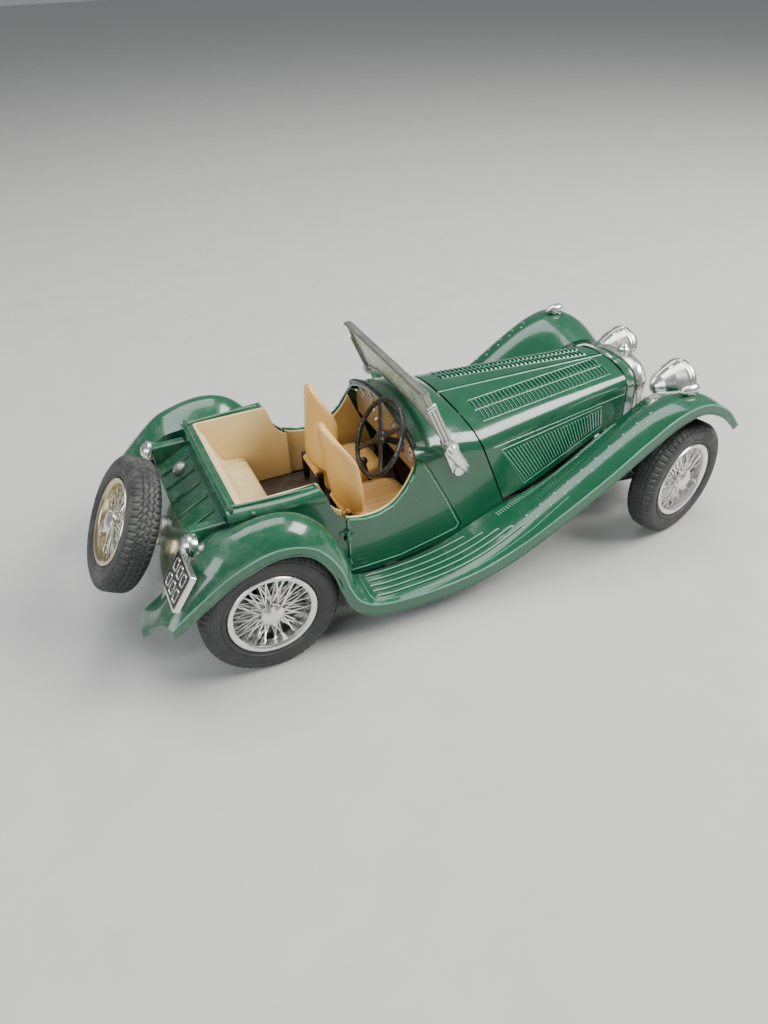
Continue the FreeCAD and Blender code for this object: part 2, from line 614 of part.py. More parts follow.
def spare_carrier():
    """Bracket from the tank's back to the spare wheel's hub."""
    out = spare_outward()
    hub = SPARE_CENTRE - out * HUB_FACE
    tank_face = SPARE_CENTRE - out * SPARE_TO_TANK
    plate = rod(hub - out * 1.4, hub, 3.4)
    stem = rod(tank_face, hub - out, 2.0)
    base = rod(tank_face, tank_face + out * 1.4, 4.6)
    return fused([plate, stem, base])


# ---------------------------------------------------------------- tank and rear end

def fuel_tank():
    """Slab tank with a ribbed sloping top between two end blocks."""
    slab = prism_xz([(TANK_FRONT_X, TANK_TOP[1]), TANK_TOP, TANK_EDGE, (-28.4, 16.6), (-26.4, 13.2),
                     (TANK_FRONT_X, 16.2)], -24.6, 24.6)
    slab = rounded(slab, 1.2, [e for e in slab.Edges if e.Length > 40 and e.BoundBox.XMax < -10])
    run, drop = TANK_TOP[0] - TANK_EDGE[0], TANK_TOP[1] - TANK_EDGE[1]
    ribs = [Part.makeCylinder(0.8, 10.4, V(TANK_EDGE[0] + 0.6, index * TANK_RIB_PITCH, TANK_EDGE[1] + 0.3),
                              V(run, 0, drop)) for index in range(-2, 3)]
    ends = []
    for side in (-1, 1):
        block = box(-16.2, TANK_FRONT_X, *sorted((side * 22.6, side * 26.2)), 34.0, 44.4)
        ends.append(rounded(block, 0.6, [e for e in block.Edges if e.BoundBox.ZMin > 44]))
    return fused([slab] + ribs + ends)


def filler_cap():
    run, drop = TANK_TOP[0] - TANK_EDGE[0], TANK_TOP[1] - TANK_EDGE[1]
    seat_x = -10.0
    seat = V(seat_x, 12.0, TANK_TOP[1] + (seat_x - TANK_TOP[0]) * drop / run)
    return turned([(0, 0), (2.2, 0), (2.2, 1.4), (1.7, 2.0), (0.6, 2.4), (0, 2.4)], seat, V(-drop, 0, run))


def tail_lamps():
    """Round bullet lamps on short stalks at the tank's upper corners."""
    r = LAMP_REAR_R
    profile = [(0, -r), (r * 0.55, -r * 0.85), (r * 0.9, -r * 0.4), (r, 0.4), (r, 1.2), (r * 0.7, 2.2),
               (0, 2.7)]
    lamps = []
    for side in (-1, 1):
        centre = V(LAMP_REAR.x, side * LAMP_REAR.y, LAMP_REAR.z)
        stalk = rod(centre, centre + V(2.6, side * 2.0, -4.4), 0.9)
        lamps.append(turned(profile, centre, V(-1, 0, 0.3)).fuse(stalk))
    return Part.makeCompound(lamps)


def tilted_slab(width, height, depth, offset):
    """Slab on the number plate's plane, offset outwards from the plate's centre."""
    slab = Part.makeBox(depth, width, height, V(offset - depth / 2, -width / 2, -height / 2))
    slab = rounded(slab, 0.8, [e for e in slab.Edges if e.BoundBox.XLength > depth * 0.9
                               and e.BoundBox.YLength < 0.01])
    slab.rotate(V(0, 0, 0), V(0, 1, 0), PLATE_TILT)
    slab.translate(PLATE_CENTRE)
    return slab


def number_plate():
    return tilted_slab(PLATE_SIZE[0] - 1.4, PLATE_SIZE[1] - 1.4, 0.5, -0.45)


def number_plate_frame():
    frame = tilted_slab(PLATE_SIZE[0], PLATE_SIZE[1], 1.4, 0.0)
    pocket = tilted_slab(PLATE_SIZE[0] - 1.3, PLATE_SIZE[1] - 1.3, 0.6, -0.5)
    foot = rod(PLATE_CENTRE, PLATE_CENTRE + V(3.4, 1.2, -1.6), 1.1)
    return frame.fuse(foot).cut(pocket)


# ---------------------------------------------------------------- cockpit

def cockpit_tub():
    """Moulded lining: floor, rear bulkhead, side walls to the door posts and footwell."""
    outer = box(COCKPIT_REAR_X + 0.1, 70.0, -COCKPIT_HALF_W + 0.1, COCKPIT_HALF_W - 0.1, FLOOR_Z - 1, 48.3)
    inner = box(COCKPIT_REAR_X + 0.1 + TUB_WALL, 70.0 - TUB_WALL, -COCKPIT_HALF_W + 0.1 + TUB_WALL,
                COCKPIT_HALF_W - 0.1 - TUB_WALL, FLOOR_Z, 60)
    tub = outer.cut(inner).cut(cockpit_side_cut())
    door_gap = prism_xz([(28.6, 19.6), (68.0, 19.6), (60.5, 34.0), (56.2, 43.0), (56.2, 60), (28.6, 60)],
                        -40, 40)
    under_cowl = prism_xz([(50, 37.6), (90, 37.6), (90, 80), (50, 80)], -40, 40)
    axle_tunnel = box(-3.2, 3.2, -30, 30, 0, AXLE_TUNNEL_TOP_Z)
    return tub.cut(door_gap).cut(under_cowl).cut(axle_tunnel)


def rear_bench():
    rear = COCKPIT_REAR_X + 0.1 + TUB_WALL
    seat = prism_xz([(rear, FLOOR_Z), (13.4, FLOOR_Z), (13.4, 30.6), (12.4, 31.8), (5.4, 32.6),
                     (2.0, 40.6), (0.6, 44.8), (rear, 45.6)], -24.4, 24.4)
    seat = rounded(seat, 0.7, [e for e in seat.Edges if e.BoundBox.YLength > 40 and e.BoundBox.ZMin > 30
                               and e.BoundBox.XMin > 0])
    return seat.cut(box(-3.2, 3.2, -30, 30, 0, AXLE_TUNNEL_TOP_Z))


def seat_cushion(side):
    y = side * SEAT_Y
    pad = box(36.2, 56.2, y - 10.4, y + 10.4, FLOOR_Z, 28.6)
    return rounded(pad, 2.0, [e for e in pad.Edges if e.BoundBox.ZMin > 20 or
                              (e.BoundBox.ZLength > 5 and e.BoundBox.XMin > 50)])


def seat_back(name):
    """Curved bucket squab on a pivot barrel, leaning at its own resting angle."""
    side = -1 if name == "right" else 1
    y = side * SEAT_Y
    x, z = SEAT_PIVOT
    shell = Part.makeCylinder(16.4, 40, V(x + 15.0, y, z)).cut(
        Part.makeCylinder(14.6, 40, V(x + 15.0, y, z)))
    half = [(9.4, 1.6), (11.1, 9.0), (11.2, 18.0), (8.6, 25.0), (4.0, 29.0)]
    outline = [V(0, -w, z + h) for w, h in half] + [V(0, 0, z + SEAT_BACK_H)]
    outline += [V(0, w, z + h) for w, h in reversed(half)]
    edge = spline_edge(outline)
    face = Part.Face(Part.Wire([edge, Part.makeLine(outline[-1], outline[0])]))
    face.translate(V(x - 3, y, 0))
    back = shell.common(face.extrude(V(12, 0, 0)))
    barrel = rod(V(x, y - 6, z), V(x, y + 6, z), 1.3)
    lug = box(x - 1.2, x + 0.6, y - 5.5, y + 5.5, z, z + 3.4)
    back = fused([back, lug, barrel]).cut(rod(V(x, y - 12, z), V(x, y + 12, z), HINGE_PIN_R + RUN_GAP))
    back.rotate(V(x, y, z), V(0, 1, 0), SEAT_TILT[name])
    return back


def pivot_pins():
    """Door hinge pins and seat pivot pins with their floor brackets."""
    pins = []
    for side in (-1, 1):
        for height in HINGE_HEIGHTS:
            foot = V(DOOR_HINGE_X, side * DOOR_HINGE_Y, height - HINGE_KNUCKLE_LENGTH)
            pins.append(Part.makeCylinder(HINGE_PIN_R, 2 * HINGE_KNUCKLE_LENGTH + 0.3, foot))
        x, z = SEAT_PIVOT
        y = side * SEAT_Y
        pin = rod(V(x, y - 8.6, z), V(x, y + 8.6, z), HINGE_PIN_R)
        legs = [box(x - 1.0, x + 1.0, y + end - 0.7, y + end + 0.7, FLOOR_Z, z + 1.0) for end in (-7.6, 7.6)]
        pins.append(fused([pin] + legs))
    return Part.makeCompound(pins)


def dash_outline(x, shrink):
    half_w, top = 24.6 - shrink, 54.9 - shrink
    points = [V(x, -half_w, 44.0), V(x, -21.4 + shrink, 50.0), V(x, -12.0, 53.9 - shrink), V(x, 0, top),
              V(x, 12.0, 53.9 - shrink), V(x, 21.4 - shrink, 50.0), V(x, half_w, 44.0)]
    return Part.Wire([spline_edge(points), Part.makeLine(points[-1], V(x, half_w - 1.5, 39.4)),
                      Part.makeLine(V(x, half_w - 1.5, 39.4), V(x, -half_w + 1.5, 39.4)),
                      Part.makeLine(V(x, -half_w + 1.5, 39.4), points[0])])


def dashboard():
    return Part.Face(dash_outline(55.0, 0.0)).extrude(V(1.2, 0, 0)).cut(
        rod(column_point(2), column_point(16), COLUMN_R))


def gauges():
    dials = []
    for y, z, radius in GAUGES:
        dials.append(Part.makeCylinder(radius, 0.6, V(54.4, y, z), V(1, 0, 0)))
    return Part.makeCompound(dials)


def column_axis():
    angle = math.radians(STEERING_TILT)
    return V(math.cos(angle), 0, -math.sin(angle))


def column_point(distance):
    return STEERING_CENTRE + column_axis() * distance


def steering_column():
    tube = rod(column_point(2.4), column_point(19.0), COLUMN_R)
    return tube.cut(rod(column_point(0), column_point(16.0), 0.6 + RUN_GAP))


def steering_wheel():
    axis = column_axis()
    rim = Part.makeTorus(STEERING_R, 0.75)
    spokes = []
    for index in range(4):
        spoke = Part.makeBox(STEERING_R, 1.7, 0.7, V(0, -0.85, -0.35))
        spoke.rotate(V(0, 0, 0), V(0, 0, 1), 45 + 90 * index)
        spokes.append(spoke)
    hub = Part.makeCylinder(2.4, 1.7, V(0, 0, -1.1))
    wheel = fused([rim, hub] + spokes)
    wheel.Placement = FreeCAD.Placement(STEERING_CENTRE, FreeCAD.Rotation(V(0, 0, 1), axis * -1))
    return wheel.fuse(rod(column_point(0.5), column_point(14.0), 0.6))


def control_levers():
    gear = fused([rod(V(50.0, 0.0, FLOOR_Z + 0.4), V(46.6, 0.0, 34.0), 0.6),
                  Part.makeSphere(1.4, V(46.6, 0, 34.4)),
                  Part.makeCylinder(2.2, 1.2, V(50.0, 0.0, FLOOR_Z))])
    brake = fused([rod(V(60.0, 1.2, FLOOR_Z + 0.4), V(57.6, 1.2, 33.0), 0.7),
                   box(58.6, 61.4, 0.0, 2.4, FLOOR_Z, FLOOR_Z + 1.3)])
    return Part.makeCompound([gear, brake])


# ---------------------------------------------------------------- windscreen

def screen_place(shape):
    """Stand a part drawn upright over the screen pivots at the resting rake."""
    shape = shape.copy()
    shape.rotate(V(0, 0, 0), V(0, 1, 0), -SCREEN_RAKE)
    shape.translate(V(SCREEN_PIVOT[0], 0, SCREEN_PIVOT[1]))
    return shape


def screen_outline(x, shrink):
    """Rectangle with a lower edge arched to clear the cowl."""
    half_w, top = SCREEN_HALF_W - shrink, SCREEN_TOP - shrink
    low, mid = SCREEN_LOW_SIDE + shrink, SCREEN_LOW_MID + shrink
    arch = [V(x, -half_w, low), V(x, -half_w * 0.78, low + (mid - low) * 0.42),
            V(x, -half_w * 0.4, low + (mid - low) * 0.9), V(x, 0, mid),
            V(x, half_w * 0.4, low + (mid - low) * 0.9),
            V(x, half_w * 0.78, low + (mid - low) * 0.42), V(x, half_w, low)]
    return Part.Wire([spline_edge(arch), Part.makeLine(arch[-1], V(x, half_w, top)),
                      Part.makeLine(V(x, half_w, top), V(x, -half_w, top)),
                      Part.makeLine(V(x, -half_w, top), arch[0])])


def windscreen_frame():
    frame = Part.Face(screen_outline(-0.9, 0.0)).extrude(V(1.8, 0, 0))
    frame = frame.cut(Part.Face(screen_outline(-2.0, 1.3)).extrude(V(4.0, 0, 0)))
    frame = frame.cut(Part.Face(screen_outline(-0.4, 0.6)).extrude(V(0.8, 0, 0)))
    ears = []
    for side in (-1, 1):
        y0, y1 = sorted((side * (SCREEN_HALF_W - 0.2), side * (SCREEN_HALF_W - 1.5)))
        ears.append(box(-1.2, 1.2, y0, y1, -1.4, 4.0))
    frame = fused([frame] + ears)
    frame = frame.cut(Part.Face(screen_outline(-0.4, 0.6)).extrude(V(0.8, 0, 0)))
    frame = frame.cut(rod(V(0, -40, 0), V(0, 40, 0), 0.8 + RUN_GAP))
    return screen_place(frame)


def windscreen_glass():
    return screen_place(Part.Face(screen_outline(-0.35, 0.65)).extrude(V(0.7, 0, 0)))


def windscreen_stanchions():
    """Side posts bolted to the scuttle, each carrying the pivot pin of the folding screen."""
    posts = []
    px, pz = SCREEN_PIVOT
    fx, fz = STANCHION_FOOT
    for side in (-1, 1):
        arm = prism_xz([(px - 1.7, pz + 0.6), (px, pz + 1.7), (px + 1.9, pz + 0.4), (fx + 1.2, fz + 0.6),
                        (fx - 0.4, fz - 1.4), (fx - 2.4, fz - 0.4), (px - 0.6, pz - 2.6)],
                       *sorted((side * 25.7, side * 26.7)))
        pin = rod(V(px, side * 26.0, pz), V(px, side * 30.2, pz), 0.8)
        foot = rod(V(fx - 0.6, side * 26.6, fz + 0.4), V(fx - 0.6, side * 28.0, fz + 0.4), 1.7)
        posts.append(fused([arm, pin, foot]))
    return Part.makeCompound(posts)


def windscreen_knobs():
    knobs = []
    for side in (-1, 1):
        start = V(SCREEN_PIVOT[0], side * (SCREEN_HALF_W + 0.15), SCREEN_PIVOT[1])
        knob = rod(start, start + V(0, side * 2.4, 0), 2.0)
        knobs.append(knob.cut(rod(start - V(0, side, 0), start + V(0, side * 1.7, 0), 0.8)))
    return Part.makeCompound(knobs)


# ---------------------------------------------------------------- lamps and engine

def headlamp(side):
    centre = V(HEADLAMP.x, side * HEADLAMP.y, HEADLAMP.z)
    bowl = turned([(0, -11.4), (1.6, -11.0), (4.2, -8.8), (6.4, -5.2), (7.4, -1.6), (HEADLAMP_R, -0.8),
                   (HEADLAMP_R, 1.0), (7.1, 1.4), (7.1, 0.2), (0, 0.2)], centre, V(1, 0, 0))
    spine = prism_xz([(centre.x - 9.6, centre.z + 3.4), (centre.x - 0.6, centre.z + 8.5),
                      (centre.x - 0.6, centre.z + 6.0), (centre.x - 8.0, centre.z + 3.0)],
                     centre.y - 0.5, centre.y + 0.5)
    stem = rod(centre - V(4.0, 0, 4.0), centre - V(4.0, 0, 10.4), 1.1)
    return fused([bowl, spine, stem])


def headlamp_lenses():
    lenses = []
    for side in (-1, 1):
        centre = V(HEADLAMP.x, side * HEADLAMP.y, HEADLAMP.z)
        lenses.append(turned([(0, 0.3), (7.0, 0.3), (7.0, 1.5), (6.2, 3.4), (4.4, 5.4), (2.2, 6.7), (0, 7.1)],
                             centre, V(1, 0, 0)))
    return Part.makeCompound(lenses)


def lamp_bar():
    """Chrome cross bar between the front wings, with side stays and a badge-free centre boss."""
    x, z = HEADLAMP.x - 4.0, LAMP_BAR_Z
    bar = rod(V(x, -22.8, z), V(x, 22.8, z), 0.9)
    stays = [rod(V(x, side * 12.6, z), V(152.6, side * 12.6, 27.6), 0.8) for side in (-1, 1)]
    clamps = [rod(V(x, side * HEADLAMP.y - 1.6, z), V(x, side * HEADLAMP.y + 1.6, z), 1.3)
              for side in (-1, 1)]
    whole = fused([bar] + stays + clamps)
    sockets = [rod(V(x, side * HEADLAMP.y, z + 0.75), V(x, side * HEADLAMP.y, z + 9), 1.15)
               for side in (-1, 1)]
    return whole.cut(Part.makeCompound(sockets))


def horns():
    """Pair of trumpet horns below and outboard of the headlamps, standing on the lamp bar."""
    profile = [(0, -3.4), (1.7, -3.2), (1.7, -0.6), (0.9, 0), (0.9, 5.2), (1.5, 7.0), (2.9, 8.6),
               (2.4, 8.7), (0.7, 6.6), (0, 6.4)]
    return Part.makeCompound([turned(profile, V(154.6, side * 21.4, LAMP_BAR_Z + 1.78), V(1, 0, 0))
                              for side in (-1, 1)])


def side_lamps():
    lamps = []
    for side in (-1, 1):
        centre = V(SIDE_LAMP.x, side * SIDE_LAMP.y, SIDE_LAMP.z)
        profile = [(0, -3.4), (0.8, -2.8), (1.5, -1.0), (1.6, 1.0), (1.2, 1.8), (0, 2.2)]
        body = turned(profile, centre, V(1, 0, 0))
        lamps.append(body.fuse(rod(centre, centre - V(0.3, 0, 1.8), 0.5)))
    return Part.makeCompound(lamps)


def engine():
    """Six-cylinder block with head, twin carburettors, sump and fan."""
    block = box(84.0, 134.0, -5.2, 5.2, PAN_TOP_Z, 33.0)
    head = box(86.0, 132.0, -4.4, 4.4, 33.0, 39.0)
    cover = box(88.0, 130.0, -2.6, 2.6, 39.0, 42.6)
    carbs = [Part.makeCylinder(2.2, 5.0, V(x, -8.2, 31.0)) for x in (98.0, 118.0)]
    ports = [box(x - 1.6, x + 1.6, -8.2, -4.0, 32.0, 35.0) for x in (98.0, 118.0)]
    manifold = rod(V(90.0, 6.6, 30.0), V(128.0, 6.6, 30.0), 1.8)
    plugs = [Part.makeCylinder(0.5, 1.8, V(92.0 + 7.4 * index, 3.5, 39.0)) for index in range(6)]
    shaft = rod(V(134.0, 0, 27.0), V(138.6, 0, 27.0), 1.4)
    fan = rod(V(137.0, 0, 27.0), V(138.0, 0, 27.0), 7.0)
    return fused([block, head, cover, manifold, shaft, fan] + carbs + ports + plugs)


def base_screws():
    """Cross-head screws that hold the body to the base casting from below."""
    screws = []
    for x in (6.0, 76.0):
        for side in (-1, 1):
            head = rod(V(x, side * 22.0, 11.9), V(x, side * 22.0, PAN_BOTTOM_Z), 1.7)
            slot = box(x - 1.1, x + 1.1, side * 22.0 - 0.2, side * 22.0 + 0.2, 11.5, 12.3)
            cross = box(x - 0.2, x + 0.2, side * 22.0 - 1.1, side * 22.0 + 1.1, 11.5, 12.3)
            screws.append(head.cut(slot).cut(cross))
    return Part.makeCompound(screws)


# ---------------------------------------------------------------- assembly

os.makedirs("parts", exist_ok=True)

shell = body_shell()
right_wing = wing()
left_wing = mirrored(right_wing)
tank = fuel_tank()
front_shell = radiator_shell()
save("chassis_frame", chassis_frame())
save("body_shell", shell)
save("wing_right", right_wing)
save("wing_left", left_wing)
save("fuel_tank", tank)
save("filler_cap", filler_cap())
save("tail_lamps", tail_lamps().cut(tank).cut(right_wing).cut(left_wing))
save("number_plate", number_plate())
save("number_plate_frame", largest(number_plate_frame().cut(right_wing)))
save("cockpit_tub", largest(cockpit_tub().cut(shell)))
save("rear_bench", rear_bench())
save("dashboard", largest(dashboard().cut(shell)))
save("gauges", gauges())
save("steering_column", steering_column())
save("steering_wheel", steering_wheel())
save("control_levers", control_levers())
save("pivot_pins", pivot_pins())
save("windscreen_frame", windscreen_frame())
save("windscreen_glass", windscreen_glass())
save("windscreen_stanchions", windscreen_stanchions().cut(shell))
save("windscreen_knobs", windscreen_knobs())
save("bonnet_hinge_rod", bonnet_hinge_rod())
save("radiator_surround", radiator_surround())
save("radiator_shell", front_shell)
save("radiator_grille", radiator_grille().cut(front_shell))
save("radiator_cap", radiator_cap().cut(front_shell))
save("headlamp_lenses", headlamp_lenses())
save("lamp_bar", lamp_bar())
save("horns", horns())
save("side_lamps", side_lamps().cut(right_wing).cut(left_wing))
save("engine", engine())
save("front_axle", front_axle())
save("track_rod", track_rod())
save("base_screws", base_screws())
save("rear_axle", rear_axle())
save("spare_carrier", spare_carrier().cut(tank))
save("spare_tyre", tyre(SPARE_CENTRE, spare_outward()))
save("spare_wheel", wire_wheel(SPARE_CENTRE, spare_outward(), 0))

for hand, hand_side in (("right", -1), ("left", 1)):
    hung_door = door(hand_side)
    save("door_" + hand, hung_door)
    save("door_card_" + hand, largest(door_card(hand_side).cut(hung_door)))
    save("bonnet_" + hand, bonnet(hand_side))
    save("seat_cushion_" + hand, seat_cushion(hand_side))
    save("seat_back_" + hand, seat_back(hand))
    save("headlamp_" + hand, headlamp(hand_side))
    save("knuckle_" + hand, knuckle(hand_side))
    front_tyre, front_wheel = front_wheel_parts(hand_side)
    save("tyre_front_" + hand, front_tyre)
    save("wheel_front_" + hand, front_wheel)
    rear_centre = V(0, hand_side * REAR_WHEEL_Y, WHEEL_Z)
    save("tyre_rear_" + hand, tyre(rear_centre, V(0, hand_side, 0)))
    save("wheel_rear_" + hand, wire_wheel(rear_centre, V(0, hand_side, 0), REAR_SHAFT_R))
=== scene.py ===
import math

import bpy
from mathutils import Matrix, Vector
from mathutils.bvhtree import BVHTree


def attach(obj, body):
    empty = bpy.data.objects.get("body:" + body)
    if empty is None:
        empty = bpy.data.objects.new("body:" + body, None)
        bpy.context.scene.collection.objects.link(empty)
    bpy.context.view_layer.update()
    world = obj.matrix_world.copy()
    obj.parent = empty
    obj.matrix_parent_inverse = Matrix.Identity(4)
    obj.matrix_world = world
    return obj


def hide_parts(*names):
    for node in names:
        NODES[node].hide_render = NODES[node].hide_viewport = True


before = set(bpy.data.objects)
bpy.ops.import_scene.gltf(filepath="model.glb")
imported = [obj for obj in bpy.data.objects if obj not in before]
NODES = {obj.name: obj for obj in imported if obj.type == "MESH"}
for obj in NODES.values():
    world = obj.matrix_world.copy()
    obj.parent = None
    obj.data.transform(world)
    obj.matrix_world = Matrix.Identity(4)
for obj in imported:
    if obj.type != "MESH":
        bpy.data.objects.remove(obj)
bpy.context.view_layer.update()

# Stations are millimetres forward of the rear axle, as in the part's source; P() gives metres
# in the shared frame, whose origin is under the middle of the car.
ORIGIN_X = 61.85
MM = 0.001


def P(x, y, z):
    return Vector(((x - ORIGIN_X) * MM, y * MM, z * MM))


# ---------------------------------------------------------------- materials

def link(tree, source, target):
    tree.links.new(source, target)


def noise(tree, coords, scale, detail=4.0, rough=0.55, stretch=None):
    node = tree.nodes.new("ShaderNodeTexNoise")
    node.inputs["Scale"].default_value = scale
    node.inputs["Detail"].default_value = detail
    node.inputs["Roughness"].default_value = rough
    if stretch:
        mapping = tree.nodes.new("ShaderNodeMapping")
        mapping.inputs["Scale"].default_value = stretch
        link(tree, coords, mapping.inputs["Vector"])
        coords = mapping.outputs["Vector"]
    link(tree, coords, node.inputs["Vector"])
    return node.outputs["Fac"]


def remap(tree, value, low, high, to_low, to_high):
    node = tree.nodes.new("ShaderNodeMapRange")
    node.clamp = True
    for name, number in (("From Min", low), ("From Max", high), ("To Min", to_low), ("To Max", to_high)):
        node.inputs[name].default_value = number
    link(tree, value, node.inputs["Value"])
    return node.outputs["Result"]


def maths(tree, operation, a, b):
    node = tree.nodes.new("ShaderNodeMath")
    node.operation = operation
    node.use_clamp = True
    for socket, value in zip(node.inputs, (a, b)):
        if isinstance(value, (int, float)):
            socket.default_value = value
        else:
            link(tree, value, socket)
    return node.outputs["Value"]


def mixed(tree, factor, a, b):
    node = tree.nodes.new("ShaderNodeMix")
    node.data_type = "RGBA"
    if isinstance(factor, (int, float)):
        node.inputs[0].default_value = factor
    else:
        link(tree, factor, node.inputs[0])
    for socket, value in ((node.inputs[6], a), (node.inputs[7], b)):
        if isinstance(value, tuple):
            socket.default_value = (*value, 1.0)
        else:
            link(tree, value, socket)
    return node.outputs[2]


def drift(tree, coords, scale, detail=4.0):
    """Soft patches from 0 to 1, for a tone that changes slowly across the surface."""
    return remap(tree, noise(tree, coords, scale, detail), 0.3, 0.7, 0.0, 1.0)


def component(tree, vector, axis):
    node = tree.nodes.new("ShaderNodeSeparateXYZ")
    link(tree, vector, node.inputs["Vector"])
    return node.outputs[axis]


def start_material(name):
    material = bpy.data.materials.new(name)
    material.use_nodes = True
    tree = material.node_tree
    coords = tree.nodes.new("ShaderNodeTexCoord").outputs["Object"]
    return material, tree, coords, tree.nodes["Principled BSDF"]


DUST = (0.34, 0.36, 0.30)
BUMP_DEPTH = 0.0002
# metres along X where the tail's film of dust starts and where it is full
TAIL_FILM = (-0.040, -0.085)
# heights in metres between which the lining's brown floor turns into its cream sides
FLOOR_EDGE = (0.02065, 0.02080)


def finish_material(tree, coords, shader, base, rough, dust, bump, bump_scale):
    """Adds dust on upward faces, roughness variation and fine bump to a base colour."""
    normal = tree.nodes.new("ShaderNodeNewGeometry").outputs["Normal"]
    upward = remap(tree, component(tree, normal, "Z"), 0.15, 0.95, 0.0, 1.0)
    patches = remap(tree, noise(tree, coords, 90.0, 6.0, 0.7), 0.42, 0.68, 0.0, 1.0)
    specks = remap(tree, noise(tree, coords, 1500.0, 2.0), 0.62, 0.74, 0.0, 0.75)
    lying = maths(tree, "MULTIPLY", upward, maths(tree, "MAXIMUM", patches, specks))
    mask = maths(tree, "MULTIPLY", lying, dust)
    link(tree, mixed(tree, mask, base, DUST), shader.inputs["Base Color"])
    uneven = remap(tree, noise(tree, coords, 260.0, 5.0), 0.3, 0.7, rough * 0.75, min(1.0, rough * 1.3))
    link(tree, maths(tree, "ADD", uneven, maths(tree, "MULTIPLY", mask, 0.5)), shader.inputs["Roughness"])
    height = tree.nodes.new("ShaderNodeBump")
    height.inputs["Strength"].default_value = bump
    height.inputs["Distance"].default_value = BUMP_DEPTH
    link(tree, noise(tree, coords, bump_scale, 3.0), height.inputs["Height"])
    link(tree, height.outputs["Normal"], shader.inputs["Normal"])


def plain(name, colour, rough=0.4, metal=0.0, coat=0.0, dust=0.25, tone=0.18, bump=0.06,
          bump_scale=900.0, wear=None):
    """Procedural finish: tonal drift, optional rubbed patches, dust, uneven gloss and bump."""
    material, tree, coords, shader = start_material(name)
    dark = tuple(c * (1.0 - tone) for c in colour)
    light = tuple(min(1.0, c * (1.0 + tone)) for c in colour)
    base = mixed(tree, drift(tree, coords, 55.0, 5.0), dark, light)
    if wear:
        rubbed = noise(tree, coords, 240.0, 6.0, 0.75, (1.0, 9.0, 5.0))
        base = mixed(tree, remap(tree, rubbed, 0.66, 0.70, 0.0, 0.55), base, wear)
    shader.inputs["Metallic"].default_value = metal
    shader.inputs["Coat Weight"].default_value = coat
    shader.inputs["Coat Roughness"].default_value = 0.12
    finish_material(tree, coords, shader, base, rough, dust, bump, bump_scale)
    return material


def body_paint(name, colour, wear, tail_dust):
    """Glossy enamel with scratches, and dust that gathers towards the tail."""
    material, tree, coords, shader = start_material(name)
    dark = tuple(c * 0.80 for c in colour)
    light = tuple(c * 1.14 for c in colour)
    base = mixed(tree, drift(tree, coords, 30.0), dark, light)
    scratches = noise(tree, coords, 130.0, 8.0, 0.8, (1.0, 14.0, 6.0))
    base = mixed(tree, remap(tree, scratches, 0.71, 0.74, 0.0, 0.40), base, wear)
    tail = remap(tree, component(tree, coords, "X"), *TAIL_FILM, 0.0, 1.0)
    patches = remap(tree, noise(tree, coords, 260.0, 8.0, 0.7), 0.44, 0.68, 0.02, tail_dust)
    base = mixed(tree, maths(tree, "MULTIPLY", tail, patches), base, DUST)
    shader.inputs["Coat Weight"].default_value = 0.75
    shader.inputs["Coat Roughness"].default_value = 0.06
    finish_material(tree, coords, shader, base, 0.22, 0.05, 0.03, 500.0)
    return material


def hazed_pane():
    """Clear plastic screen that has gone milky in patches."""
    material, tree, coords, shader = start_material("screen_pane")
    base = mixed(tree, drift(tree, coords, 70.0), (0.62, 0.68, 0.58), (0.86, 0.89, 0.80))
    link(tree, base, shader.inputs["Base Color"])
    shader.inputs["Transmission Weight"].default_value = 0.50
    shader.inputs["IOR"].default_value = 1.3
    haze = remap(tree, noise(tree, coords, 220.0, 6.0, 0.7), 0.35, 0.75, 0.18, 0.60)
    link(tree, haze, shader.inputs["Roughness"])
    return material


def lining():
    """Cream moulded lining whose floor is covered in dark brown."""
    material, tree, coords, shader = start_material("lining_cream")
    cream = mixed(tree, drift(tree, coords, 60.0), (0.78, 0.60, 0.29), (0.87, 0.70, 0.38))
    brown = mixed(tree, drift(tree, coords, 420.0, 6.0), (0.030, 0.020, 0.014), (0.075, 0.052, 0.036))
    floor = remap(tree, component(tree, coords, "Z"), *FLOOR_EDGE, 1.0, 0.0)
    finish_material(tree, coords, shader, mixed(tree, floor, cream, brown), 0.48, 0.15, 0.10, 700.0)
    return material


PAINT = body_paint("enamel_green", (0.006, 0.098, 0.044), (0.08, 0.26, 0.17), 0.26)
# Lighter green for raised edges, seams and louvre crests: painted highlight; its scratches are wear
PAINT_HIGHLIGHT = body_paint("enamel_green_painted_highlight", (0.10, 0.36, 0.23), (0.32, 0.54, 0.42), 0.3)
# Pale green: painted highlight strips on the running-board ribs, and the pale hatch ticks and studs
PAINT_PALE_AND_HIGHLIGHT = body_paint("enamel_green_pale_and_highlight", (0.30, 0.52, 0.39), (0.58, 0.70, 0.60), 0.3)
BEAD_DARK = plain("bead_dark", (0.004, 0.014, 0.008), 0.30, coat=0.3, dust=0.04)
CHROME = plain("plated_silver", (0.88, 0.87, 0.83), 0.26, metal=1.0, dust=0.08, tone=0.06, bump=0.14,
               bump_scale=420.0, wear=(0.66, 0.63, 0.56))
CHROME_GOLD = plain("plated_pale_gold", (0.66, 0.56, 0.36), 0.20, metal=1.0, dust=0.15, tone=0.10, bump=0.10)
SCREEN_BAR = plain("screen_bar_silver", (0.34, 0.35, 0.31), 0.40, metal=0.85, dust=0.15, tone=0.15, bump=0.20,
                   wear=(0.60, 0.60, 0.54))
SATIN_SILVER = plain("satin_silver", (0.62, 0.62, 0.58), 0.34, metal=0.9, dust=0.25, tone=0.12, bump=0.18,
                     wear=(0.35, 0.34, 0.31))
RUBBER = plain("tyre_rubber", (0.034, 0.034, 0.036), 0.55, dust=0.40, tone=0.22, bump=0.18, bump_scale=1400.0,
               wear=(0.09, 0.09, 0.09))
BASE_BLACK = plain("base_black", (0.016, 0.016, 0.017), 0.5, dust=0.3, bump=0.2)
